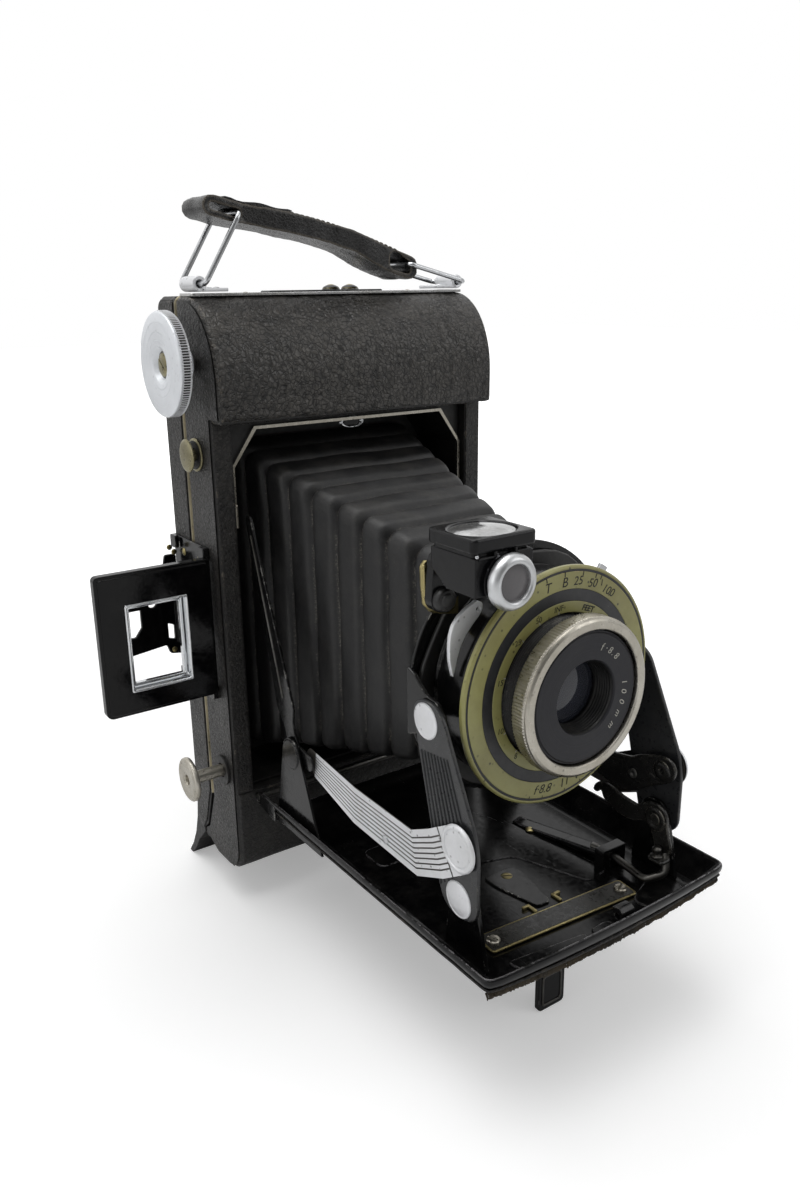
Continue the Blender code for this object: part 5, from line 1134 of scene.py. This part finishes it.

# %% [markdown]
# ## Folding linkage
# Each side unfolds by three flat bars. The black arm carries the lens standard, the plated link pulls it upright
# and the thin strut drives both from the body. The bars are stamped steel: the arms carry fine raised flutes
# and bright rivet caps, and the links are grooved along their length, following the bend. The flutes are drawn
# wires half sunk in the plate, and the link is built as a base with raised bands so its grooves are real; the
# base is a darker grey than the bands, which paints shade and grime into the grooves.

# %% Arms with flutes and rivet caps
ARM_LOW, ARM_TOP, LINK_FRONT = (-97.8, 43.4), (-86.7, 79.3), (-98.8, 56.0)
EAR_PIVOT, STRUT_TOP = (-33.8, 51.9), (-15.6, 108.5)
arm_edge = [(-103.8, 39.6), (-92.6, 39.0), (-81.4, 83.2), (-91.0, 84.2), (-103.8, 58.0)]
finish("arm_enamel", (30, 31, 33), (44, 45, 47), (0.24, 0.4), worn=((120, 118, 112), 0.45), dusty=0.25)
finish("flute_enamel", (36, 37, 39), (50, 51, 53), (0.26, 0.4), dusty=0.15)
for side, name in SIDES:
    arm = plate(arm_edge, "YZ", *beside(side, 29.7, 30.6), [4.2, 4.2, 4.4, 4.4, 4.2], [(*LINK_FRONT, 1.8)],
        0.18)
    flutes = []
    for k in range(9):
        top = (side * 30.62, -85.1 - 8.6 * k / 8, 72.4 + 1.0 * k / 8)
        low = (side * 30.62, -91.8 - 10.4 * k / 8, 44.0 + 8.4 * k / 8)
        flutes.append(tube([top, low], 0.26, sides=3))
    piece("arm_plate_" + name, "arm_" + name, arm, "arm_enamel", "black_enamel", "arm_" + name, smooth=40)
    piece("arm_flutes_" + name, "arm_" + name, flutes, "flute_enamel", "black_enamel", smooth=60)
    facing = (side, 0, 0)
    caps = [cap((side * 30.6, *ARM_LOW), facing, 4.1, 0.24, 0.2), cap((side * 30.6, *ARM_TOP), facing, 3.95,
        0.24, 0.2)]
    piece("arm_caps_" + name, "arm_" + name, caps, "white_satin", "chrome", smooth=60)
    inside = [cap((side * 28.3, *ARM_LOW), (-side, 0, 0), 2.2, 0.2, 0.1),
        lathe(oblong(0, 1.5, 0, 2), (side * 28.2, *ARM_LOW), facing, 32, 0.1),
        lathe(oblong(0, 1.4, 0, 2), (side * 28.2, *ARM_TOP), facing, 32, 0.1)]
    piece("arm_pivots_" + name, "arm_" + name, inside, "steel", "steel")

# %% Plated links with grooves that follow the bend
spine = [Vector(p) for p in ((-98.8, 56.0), (-91.6, 51.4), (-83.8, 47.7), (-60, 48.4), (-40.8, 51.9))]
halves = [5.2, 5.3, 5.2, 4.8, 3.4]


def beside_spine(share, upto=None):
    """Line along the link, a share of its half width from the spine."""
    line = []
    for k, here in enumerate(spine):
        before, after = spine[max(k - 1, 0)], spine[min(k + 1, len(spine) - 1)]
        run = ((here - before).normalized() + (after - here).normalized()).normalized()
        line.append(here + Vector((-run.y, run.x)) * halves[k] * share)
    if upto is not None:
        line[0] = line[1].lerp(line[0], upto)
        line[-1] = line[-2].lerp(line[-1], 0.93)
    return [tuple(p) for p in line]


def band(low, high):
    return beside_spine(low, 0.4) + beside_spine(high, 0.4)[::-1]


rear_end = [(-40.8 + 3.4 * sind(a), 51.9 + 3.4 * cosd(a)) for a in range(20, 170, 15)]
front_end = [(-98.8 - 5.2 * sind(a), 56.0 - 5.2 * cosd(a)) for a in range(30, 200, 12)]
link_edge = beside_spine(1.0)[1:-1] + rear_end + beside_spine(-1.0)[::-1][1:-1] + front_end
marks = [1.0] + [0.66 - 0.22 * k for k in range(7)] + [-1.0]
cap_ring = [(0, 0.68), (3.75, 0.68), (3.95, 0.5), (4.1, 0.5), (4.25, 0.8), (4.6, 0.84), (5.0, 0.7),
    (5.2, 0.3), (5.2, 0), (0, 0)]
# The base shows only in the gaps between the bands: its darker grey is painted shade and grime in the grooves.
finish("groove_shade_and_grime", (70, 68, 66), (110, 107, 102), (0.3, 0.5), 0.6, dusty=0.2)
for side, name in SIDES:
    facing = (side, 0, 0)
    base = plate(link_edge, "YZ", *beside(side, 30.9, 31.45), soften=0.1)
    piece("link_base_" + name, "link_" + name, base, "groove_shade_and_grime", "chrome")
    bands = []
    for upper, lower in zip(marks, marks[1:]):
        gap = 0.034 * (upper < 1), 0.034 * (lower > -1)
        bands.append(plate(band(lower + gap[1], upper - gap[0]), "YZ", *beside(side, 31.35, 31.75),
            soften=0.11))
    collar = [beside_spine(-1.0, 0.45)[0]] + front_end + [beside_spine(1.0, 0.45)[0]]
    bands.append(plate(collar, "YZ", *beside(side, 31.35, 31.75), soften=0.11))
    head = lathe(cap_ring, (side * 31.35, *LINK_FRONT), facing, 64, 0.06)
    piece("link_plate_" + name, "link_" + name, [*bands, head], "white_satin", "chrome", "link_" + name,
        smooth=36)
    pins = [cap((side * 31.7, -72.9, 45.6), facing, 1.05, 0.4, 0.15),
        lathe(oblong(0, 1.5, 0, 1.8), (side * 29.6, *LINK_FRONT), facing, 32, 0.1)]
    piece("link_pins_" + name, "link_" + name, pins, "chrome", "chrome")

# %% Struts and ears
for side, name in SIDES:
    facing = (side, 0, 0)
    piece("strut_bar_" + name, "strut_" + name, softened("strut_" + name, 0.14), "enamel", "black_enamel",
        "strut_" + name)
    low, high = Vector(EAR_PIVOT).lerp(Vector(STRUT_TOP), 0.24), Vector(EAR_PIVOT).lerp(Vector(STRUT_TOP),
        0.94)
    rib = tube([(side * 33.1, *low), (side * 33.1, *high)], 0.3, sides=3)
    piece("strut_rib_" + name, "strut_" + name, rib, "steel", "steel")
    piece("ear_plate_" + name, "bed", softened("ear_" + name, 0.16), "enamel", "black_enamel", "ear_" + name)
    feet = [cap((side * 34.2, y, 32.2), facing, 0.9, 0.3, 0.1) for y in (-42.5, -28.5)]
    piece("ear_rivets_" + name, "bed", feet, "steel_bright", "steel")

# %% [markdown]
# ## Locking levers
# Two black levers inside the right arm hold the bed open: a bow-shaped link with an oval end, and below it a
# hooked lever that stands on a small nut. They are stamped from sheet with pressed eyes, so each is a flat
# outline with softened edges, with turned rivets set in it.

# %% Link and hooked lever
bow_link = [(-79.3, 47.4), (-83.9, 46.4), (-86.4, 46.0), (-89.5, 46.3), (-91.9, 47.1), (-94.8, 49.1),
    (-97.6, 51.0), (-102.2, 53.4), (-103.8, 55.2), (-104.2, 57.2), (-103.2, 59.0), (-101.2, 59.7),
    (-98.4, 59.3), (-93.2, 57.5), (-90.7, 55.9), (-86.1, 55.0), (-82.0, 54.2), (-79.3, 53.6)]
finish("lever_black", (18, 18, 18), (30, 29, 27), (0.16, 0.3), worn=((140, 136, 126), 0.5), reach=0.45,
    dusty=0.2)
lever = [plate(bow_link, "YZ", 27.3, 28.1, 0.8, [(-100.1, 55.9, 0.6)], 0.3),
    lathe([(0.6, 0), (2.4, 0), (2.4, 0.12), (2.1, 0.3), (0.6, 0.3)], (27.35, -100.1, 55.9), LEFT, 48, 0.08),
    lathe(oblong(0, 1.2, 0, 2.0), (27.4, -97.2, 52.8), RIGHT, 32, 0.1)]
piece("bow_link", "lock_lever", lever, "lever_black", "black_enamel", "lock_lever_right", smooth=45)
piece("bow_rivet", "lock_lever", lathe([(0, 0.1), (0.4, 0.12), (0.75, 0.24), (1.15, 0.22), (1.3, 0.1),
    (1.3, 0), (0, 0)], (27.3, -91.6, 51.9), LEFT, 32, 0.05), "steel", "steel")
hook_edge = [(-79.9, 43.0), (-80.4, 44.6), (-81.7, 45.8), (-84.2, 46.7), (-87.1, 46.3), (-89.4, 45.4),
    (-92.5, 45.1), (-94.3, 45.0), (-96.0, 46.3), (-98.3, 47.6), (-100.6, 47.7), (-102.6, 46.9),
    (-103.5, 45.4), (-103.6, 43.5), (-104.2, 40.6), (-105.2, 38.2), (-105.0, 36.6), (-103.9, 35.4),
    (-100.6, 34.9), (-100.2, 37.4), (-99.0, 40.3), (-98.0, 41.6), (-96.2, 41.6), (-93.5, 40.3), (-91.3, 39.9),
    (-87.2, 40.3), (-83.6, 42.0), (-82.6, 43.9), (-81.2, 42.6)]
hook = [plate(hook_edge, "YZ", 26.2, 27.0, 0.5, soften=0.26), lathe([(1.3, 0), (2.9, 0), (2.9, 0.18),
    (2.5, 0.36), (1.9, 0.36), (1.5, 0.12), (1.3, 0.1)], (26.25, -100.0, 43.7), LEFT, 48, 0.06),
    lathe([(0, 0.05), (0.8, 0.05), (1.35, 0.2), (1.35, 0), (0, 0)], (26.2, -100.0, 43.7), LEFT, 32, 0.03),
    lathe(oblong(0, 1.3, 0, 1.2), (26.8, *ARM_LOW), RIGHT, 32, 0.1),
    block((23.2, 26.6), (-105.3, -100.8), (34.6, 35.5), 0.8, 0.3)]
piece("hooked_lever", "bed_latch", hook, "lever_black", "black_enamel", "bed_latch_right", smooth=45)
nut = [lathe([(0, 2.9), (0.7, 2.8), (1.15, 2.4), (1.15, 1.5), (0.8, 1.3), (0.8, 0.9), (1.5, 0.7), (1.5, 0),
    (0, 0)], (24.6, -102.6, 35.4), UP, 32, 0.1)]
piece("lever_nut", "bed_latch", nut, "steel", "steel")

# %% [markdown]
# ## Waist-level finder
# The small reflecting finder is a black box with an overlapping lid. A plated ring holds its front lens, and an
# oval glass in the lid shows the picture. It is pressed from sheet and enamelled, so all its edges are soft, and
# two notches and a tiny pin under the lid hold the lid on. It turns on a black screw in a brass bracket.

# %% Box, lid and their glasses
finish("finder_black", (9, 9, 11), (15, 15, 17), (0.14, 0.26), worn=((150, 150, 154), 0.3), dusty=0.08,
    shine=0.26)
notches = [(-26.6, -22.9, 114.8, 115.3), (-22.9, -22.2, 114.8, 116.1), (-17.2, -13.6, 115.0, 115.5),
    (-17.8, -17.2, 115.0, 116.2)]
box = [softened("waist_finder_box", 0.45, 3), block((-27.0, -13.3), (-97.3, -84.5), (114.0, 117.0), 0.8, 0.1)]
box += [block((left, right), (-98.5, -97.0), (low, high), 0.1, 0.08) for left, right, low, high in notches]
box.append(lathe([(3.0, 0), (5.3, 0), (5.3, 1.2), (5.0, 1.4), (3.0, 1.4)], (-19.6, -97.8, 109.9), FRONT, 64,
    0.1))
piece("finder_box", "waist_finder", box, "finder_black", "black_enamel", "waist_finder_box")
lid = plate(oblong(-28, -12, -98.4, -83.8), "XY", 116.0, 119, 1.2, [(-20.2, -91.4, 6.9, 6.1)], 0.5)
piece("finder_lid", "waist_finder", lid, "finder_black", "black_enamel", "waist_finder_lid")
piece("finder_pin", "waist_finder", cap((-26.9, -98.0, 115.6), FRONT, 0.4, 0.5, 0.3), "chrome", "chrome")
FINDER_EYE = (-19.6, -98, 109.9)
finish("finder_mirror", (226, 227, 228), (120, 120, 118), (0.04, 0.16), 0.9, dusty=0.7, scratched=0.4,
    speckle=0.3)
oval = lathe([(0, 0.75), (2, 0.7), (4, 0.5), (5.4, 0.3), (6.9, 0), (6.9, -0.8), (0, -0.8)], ORIGIN, UP, 64,
    0.05)
moved(oval, Matrix.Translation(Vector((-20.2, -91.4, 118.7)) * MM) @ Matrix.Diagonal((1.0, 0.89, 1.0, 1.0)))
piece("lid_glass", "waist_finder", oval, "finder_mirror", "glass", smooth=50)
ring = [(3.7, 1.2), (3.7, 2.9), (3.86, 3.2), (4.2, 3.38), (4.7, 3.3), (5.2, 2.95), (5.55, 2.4), (5.72, 1.8),
    (5.7, 1.2), (5.4, 1.0), (4.0, 1.0)]
piece("finder_ring", "waist_finder", lathe(ring, FINDER_EYE, FRONT, 96, 0), "chrome_satin", "chrome",
    "waist_lens_ring", smooth=50)
finish("finder_lens", (84, 82, 84), (104, 101, 102), (0.08, 0.2), dusty=0.3, scratched=0.3)
piece("finder_glass", "waist_finder", lathe(dome(3.85, 1.7, 2.3, 0.0, 0.35), FINDER_EYE, FRONT, 64, 0),
    "finder_lens", "glass", smooth=50)

# %% Bracket and pivot screw
bracket = [(-26.7, 111.6), (-27.8, 110.3), (-27.6, 105.6), (-27.2, 102.2), (-25.4, 100.2), (-22.6, 99.4),
    (-18.4, 98.6), (-18.4, 105.4), (-22.4, 107.0), (-25.2, 108.6), (-25.8, 111.0)]
edge = bent([(-27.4, -82.0, 110.6), (-27.2, -82.0, 105.6), (-26.8, -82.0, 102.4), (-25.2, -82.0, 100.7)], 0.8)
piece("finder_bracket", "standard", [plate(bracket, "XZ", -81.9, -80.9, 0.5, soften=0.18), tube(edge, 0.28)],
    "brass", "brass", "waist_bracket")
knob = lathe([(0, 5.9), (1.4, 5.9), (1.5, 5.5), (2.1, 5.5), (2.45, 5.1), (2.6, 4.4), (2.6, 1.2), (2.2, 0.6),
    (1.6, 0.3), (1.6, 0), (0, 0)], (-24.8, -81, 103.8), FRONT, 48, 0.1)
piece("finder_knob", "standard", knob, "enamel_dull", "black_metal", "waist_pivot_screw")

# %% [markdown]
# ## Eye-level finder
# The folding frame finder is a gloss black pressing like a small picture frame: its face stands a little proud
# of a rolled edge, and a plated bezel slopes into the window. The sight behind it is a thin black leaf with two
# cut openings and a peep hole. Both swing on a hinge strip that is riveted to the body with brass rivets.

# %% Frame and bezel
face = oblong(-72.0, -42.3, 63.0, 99.5)
raised = oblong(-71.2, -43.0, 63.8, 98.7)
window = oblong(-65.2, -49.3, 69.2, 91.5)
frame_work = [plate(face, "XZ", -11.4, -9.0, [1.8, 1.6, 1.0, 1.2], [(window, 0.4)], 0.5),
    plate(raised, "XZ", -11.85, -11.2, [1.4, 1.2, 0.7, 0.9], [(window, 0.4)], 0.22),
    lathe(oblong(0.75, 1.15, 0, 30), (-44.4, -8.6, 66.2), UP, 24, 0.1),
    block((-45.4, -43.4), (-9.4, -8.4), (66.2, 96.2), 0.2, 0.15)]
finish("frame_gloss", (4, 4, 5), (8, 8, 9), (0.05, 0.16), worn=((120, 118, 112), 0.12), dusty=0.08,
    scratched=0.3, shine=0.22)
finish("bezel_chrome", (226, 228, 230), (206, 208, 210), (0.04, 0.12), 1.0, bump=0.004, scratched=0.0,
    dusty=0.05)
piece("finder_face", "finder", frame_work, "frame_gloss", "black_enamel", "finder_frame", smooth=45)
outer = oblong(-65.4, -49.1, 69.0, 91.7)
middle = oblong(-64.7, -49.8, 69.7, 91.0)
inner = oblong(-63.7, -50.8, 70.7, 90.0)
bezel = [plate(outer, "XZ", -12.35, -11.7, 0.5, [(middle, 0.3)], 0.24),
    plate(oblong(-65.1, -49.4, 69.3, 91.4), "XZ", -11.9, -9.2, 0.4, [(middle, 0.3)], 0.15),
    plate(oblong(-64.5, -50.0, 69.9, 90.8), "XZ", -10.2, -8.9, 0.3, [(inner, 0.3)], 0.3)]
piece("window_bezel", "finder", bezel, "bezel_chrome", "chrome", "finder_bezel", smooth=45)

# %% Rear sight and hinge strip
openings = [([(-58.2, 75.4), (-55.8, 75.4), (-54.0, 77.8), (-54.0, 82.8), (-58.2, 82.8)], 0.2),
    ([(-46.7, 73.4), (-44.9, 72.9), (-44.9, 76.9), (-46.7, 77.7)], 0.2), (-50.6, 84.0, 1.2)]
sight = [plate([(-58.9, 70.3), (-47.4, 71.6), (-46.6, 69.0), (-42.9, 68.4), (-42.9, 96.6), (-46.0, 96.6),
    (-46.6, 93.6), (-58.9, 92.2)], "XZ", 9.1, 10.0, 0.6, openings, 0.18),
    lathe(oblong(0.7, 1.05, 0, 20), (-43.4, 9.0, 72.0), UP, 24, 0.1)]
piece("sight_leaf", "sight", sight, "frame_gloss", "black_enamel", "rear_sight")
strip = oblong(-8.0, 11.4, 60.8, 101.6)
tabs = [plate(oblong(y, y + 3.4, low, low + 3.4), "YZ", -43.2, -41.4, [0.4, 0.4, 0.4, 0.4], soften=0.16)
    for y in (-9.6, 8.0) for low in (60.7, 98.3)]
piece("hinge_strip", "body", [plate(strip, "YZ", -42.05, -41.4, 0.6, soften=0.16), *tabs], "enamel",
    "black_enamel", "finder_hinge_post")
rivets = [cap((-42.0, y, z), LEFT, 1.0, 0.45, 0.25) for z in (64.6, 81, 97.8) for y in (-4.6, 5.2)]
rivets += [cap((x, 9.2, z), FRONT, 0.75, 0.45, 0.2) for x, z in ((-44.5, 98.6), (-43.3, 97.2), (-45.4, 70.0))]
piece("hinge_rivets", "body", rivets, "brass", "brass")

# %% [markdown]
# ## Carrying strap
# The strap is a doubled strip of black leather, folded round the wire bails at both ends and pasted. Old leather
# like this is lumpy, its top layer ends in a torn step, and brown shows where the edges have worn. The strip is
# rounded, divided finely and pushed about by slow noise, and rows of small stitches run beside its edges.

# %% Lumpy strap with stitches
HANDLE_Y, BAIL_X, BAIL_Z = -4.5, 38.4, 165.1
work = softened("strap", 0.8, 3)
long_edges = [e for e in work.edges if e.calc_length() > 1.6 * MM]
bmesh.ops.subdivide_edges(work, edges=long_edges, cuts=7, use_grid_fill=True)
bmesh.ops.triangulate(work, faces=[f for f in work.faces if len(f.verts) > 4])
work.normal_update()
for vert in work.verts:
    x, y, z = (c / MM for c in vert.co)
    lump = 0.34 * noise.noise((x * 0.14, y * 0.22, z * 0.14)) + 0.12 * noise.noise((x * 0.7, y * 0.8,
        z * 0.7))
    vert.co += vert.normal * lump * MM
    sag = max(0.0, min(1, (x - 4) / 9)) * (z < 170.5 + 0.23 * (20 - x))
    vert.co.z -= 1.3 * sag * MM
finish("strap_edge", (66, 52, 36), (30, 25, 20), (0.5, 0.75), bump=0.06, scale=1500, dusty=0.4)
piece("strap_leather", "handle", work, "leather_strap", "leather", "strap", smooth=70)
bar_left, bar_right = Vector((-28.54, 180.87)), Vector((20.3, 169.5))
run = (bar_right - bar_left).normalized()
up = Vector((-run.y, run.x))
span = (bar_right - bar_left).length


def on_strap(along, rise, y):
    """Point a distance along the strap and above its middle line."""
    bow = 1.8 * sin(pi * min(max(along / span, 0), 1))
    x, z = bar_left + run * along + up * (bow + rise)
    return x, y, z


upper = [on_strap(-6.5 + 1.5 * k, 1.6, 0)[::2] for k in range(14)]
upper += [on_strap(14.2, 2.9, 0)[::2]]
upper += [on_strap(-6.5 + 1.5 * k, min(2.9, 1.7 + 0.5 * k) + 0.2 * sin(k), 0)[::2] for k in range(13, -1, -1)]
piece("strap_lap", "handle", plate(upper, "XZ", -10.2, 1.2, soften=0.3), "leather_strap", "leather",
    smooth=60)
stitches = []
for y in (-9.4, 0.4):
    for k in range(21):
        start = 15.5 + 1.5 * k
        stitches.append(tube([on_strap(start, 2.2, y), on_strap(start + 0.25, 2.5, y),
            on_strap(start + 0.85, 2.5, y), on_strap(start + 1.1, 2.2, y)], 0.16, sides=1))
piece("strap_stitches", "handle", stitches, "strap_edge", "leather")
frays = []
for k in range(60):
    y = -10.3 + 11.6 * k / 59
    start = on_strap(14.0, 2.6 + 0.3 * noise.noise((k * 1.3, 0, 0)), y)
    end = on_strap(14.9 + 0.6 * noise.noise((k * 2.7, 5.0, 0)), 2.3 + 0.5 * noise.noise((k * 0.9, 2.0, 7.0)),
        y)
    frays.append(tube([start, end], 0.1, sides=0))
piece("strap_frays", "handle", frays, "strap_edge", "leather")

# %% Bails, clips and top plate
BAIL_HALF = 7.25
for side, name, bar in ((-1, "left", bar_left), (1, "right", bar_right)):
    loop = bent([(side * BAIL_X, HANDLE_Y - BAIL_HALF, BAIL_Z), (side * BAIL_X, HANDLE_Y + BAIL_HALF, BAIL_Z),
        (bar.x, HANDLE_Y + BAIL_HALF, bar.y), (bar.x, HANDLE_Y - BAIL_HALF, bar.y)], 1.6, True)
    piece("wire_bail_" + name, "bail_" + name, tube(loop, 0.65, True), "chrome", "chrome",
        "handle_bail_" + name, smooth=60)
    roll = lathe(oblong(0.98, 1.8, 0, 8), (side * BAIL_X, -8.5, BAIL_Z), (0, 1, 0), 48, 0.15)
    tab = block(beside(side, 30.9, BAIL_X), (-8.5, -0.5), (163.32, 164.15), 0.6, 0.2)
    pins = [cap((side * 33.4, y, 164.1), UP, 0.8, 0.35, 0.2) for y in (-6.6, -2.4)]
    piece("bail_clip_" + name, "body", [roll, tab, *pins], "white_satin", "chrome", "handle_clip_" + name,
        smooth=50)
top = plate(oblong(-40.5, 40.5, -8.0, -0.3), "XY", 162.3, 163.0, 0.9, [(-24.5, -4.2, 0.9), (24.5, -4.2, 0.9)],
    0.12)
finish("plate_chrome", (196, 197, 198), (150, 147, 140), (0.14, 0.3), 1.0, bump=0.012, speckle=0.4, dusty=0.3,
    scratched=0.9)
piece("top_strip", "body", top, "plate_chrome", "chrome", "top_plate")
heads = [cap((x, -4.2, 162.7), UP, 0.85, 0.5, 0.3) for x in (-24.5, 24.5)]
piece("top_rivets", "body", heads, "nickel", "nickel")

# %% [markdown]
# ## Knob, release and pins
# The winding knob is turned brass with a satin plated face, fine circles left by the tool and a rim cut with
# about 120 straight ribs. A slotted brass screw sits in its recess. The release is a pair of thin brass discs on
# a pin, one fixed to the body. The spool pin ends in a plain turned head.

# %% Winding knob
RIBS = 120
knob = [(0, 2.2), (3.1, 2.2), (3.3, 2.3), (4.2, 3.45), (4.5, 3.58), (5.7, 3.62), (5.82, 3.52), (5.94, 3.62),
    (7.4, 3.66), (7.5, 3.56), (7.62, 3.66), (9.6, 3.66), (9.7, 3.6), (9.8, 3.66), (11.5, 3.6), (11.95, 3.42),
    (12.2, 3.1), (12.0, 2.8), (12.0, 0.9), (11.6, 0.7), (5.6, 0.5), (4.8, -1.1), (3.6, -1.6), (3.6, -3.55),
    (0, -3.55)]
grip = [(11.5, 2.95), (12.15, 2.9), (12.4, 2.7), (12.4, 0.9), (12.2, 0.6), (11.5, 0.5)]
rim = ribbed(lathe(grip, ORIGIN, UP, 2 * RIBS, 0), RIBS, 12.3, 0.95)
seat = station((-46.1, -7.6, 147), LEFT)
finish("knob_white", (238, 241, 245), (222, 225, 229), (0.3, 0.44), 0.35, bump=0.012, dusty=0.1,
    scratched=0.9, speckle=0.2)
finish("old_brass", (168, 162, 132), (112, 105, 76), (0.24, 0.44), 0.85, bump=0.02, speckle=0.9,
    scratched=0.6, dusty=0.2)
finish("knob_groove_shade", (22, 22, 22), (52, 50, 46), (0.4, 0.6))
piece("wind_knob", "winder", moved(lathe(knob, ORIGIN, UP, 96, 0), seat), "knob_white", "chrome",
    "winding_knob", smooth=24)
piece("knob_rim", "winder", moved(rim, seat), "white_satin", "chrome", smooth=20)
# painted shade: a dark ring inside the ribbed rim shows between the ribs, where the grooves would fall in shade
grooves = lathe(oblong(11.5, 12.2, 2.55, 1.05), ORIGIN, UP, 96, 0)
piece("knob_grooves", "winder", moved(grooves, seat), "knob_groove_shade", "chrome")
piece("knob_screw", "winder", screw((-48.2, -7.6, 147), LEFT, 2.75, 0.9, 0.9, 0.6), "old_brass", "brass")
recoat("steel", "winding_shaft")
recoat("spool_black", "take_up_spool", "supply_spool")

# %% Release discs and spool pin
disc = [(0, 0.75), (3.4, 0.68), (3.9, 0.55), (4.1, 0.35), (4.1, 0.1), (3.9, 0), (1.4, 0), (1.4, -4.8),
    (0, -4.8)]
piece("release_disc", "release", lathe(disc, (-43.6, -6, 124.8), LEFT, 64, 0.05), "old_brass", "brass",
    "release_button", smooth=40)
collar = [(1.8, 0), (4.15, 0), (4.15, 0.3), (3.8, 0.5), (1.8, 0.5)]
piece("release_collar", "body", lathe(collar, (-41.5, -6, 124.8), LEFT, 64, 0.05), "old_brass", "brass",
    smooth=40)
pull = softened("spool_pull_pin", 0.18)
piece("pull_pin_head", "pull_pin", pull, "ring_nickel", "nickel", "spool_pull_pin")
rings = lathe([(2.0, 0.0), (2.2, 0.12), (4.4, 0.12), (4.6, 0.0), (4.8, 0.1), (5.1, 0.1), (5.2, -0.2),
    (2.0, -0.2)], (-52.0, -8.6, 39.6), LEFT, 64, 0)
piece("pull_pin_rings", "pull_pin", rings, "ring_nickel", "nickel")

# %% [markdown]
# ## Back, latch and film window
# On the back a small sliding shutter covers the red window through which the film's numbers are read. The latch
# on top is a black slide with two brass studs. The foot of the back is a bare metal fin, bright where the
# camera has stood on it.

# %% Latch, window shutter and red window
piece("latch_slide", "latch", softened("back_latch", 0.16), "enamel", "black_enamel", "back_latch")
studs = [cap((x, 5.5, 163.3), UP, 2.3, 1.5, 1.1) for x in (6.0, 12.0)]
piece("latch_studs", "latch", studs, "brass", "brass", smooth=60)
piece("shutter_slide", "shutter_plate", softened("window_shutter", 0.2), "nickel", "nickel", "window_shutter")
finish("red_window", (150, 16, 10), (96, 10, 8), (0.06, 0.2), dusty=0.3, coat=0.5)
recoat("red_window", "red_window")
guides = [block((side * 8.7 - 0.6, side * 8.7 + 0.6), (12.3, 13.6), (50.5, 80.5), 0.3, 0.2)
    for side in (-1, 1)]
guides += [lathe([(5.5, 0), (7.0, 0), (7.0, 0.1), (6.8, 0.18), (5.5, 0.18)], (0, 12.2, 60), (0, 1, 0), 64,
    0.05)]
piece("window_guides", "back", guides, "nickel", "nickel")
fin = [(12.3, 22.4), (13.5, 15.3), (15.5, 9.3), (18.3, 4.4), (21.5, 0.4), (21.0, 0.0), (17.4, 3.0),
    (14.2, 7.6), (12.0, 15.0), (11.6, 22.4)]
piece("bare_foot", "back", plate(fin, "YZ", -40.4, 40.4, 0.2, soften=0.12), "brass_trim", "brass")
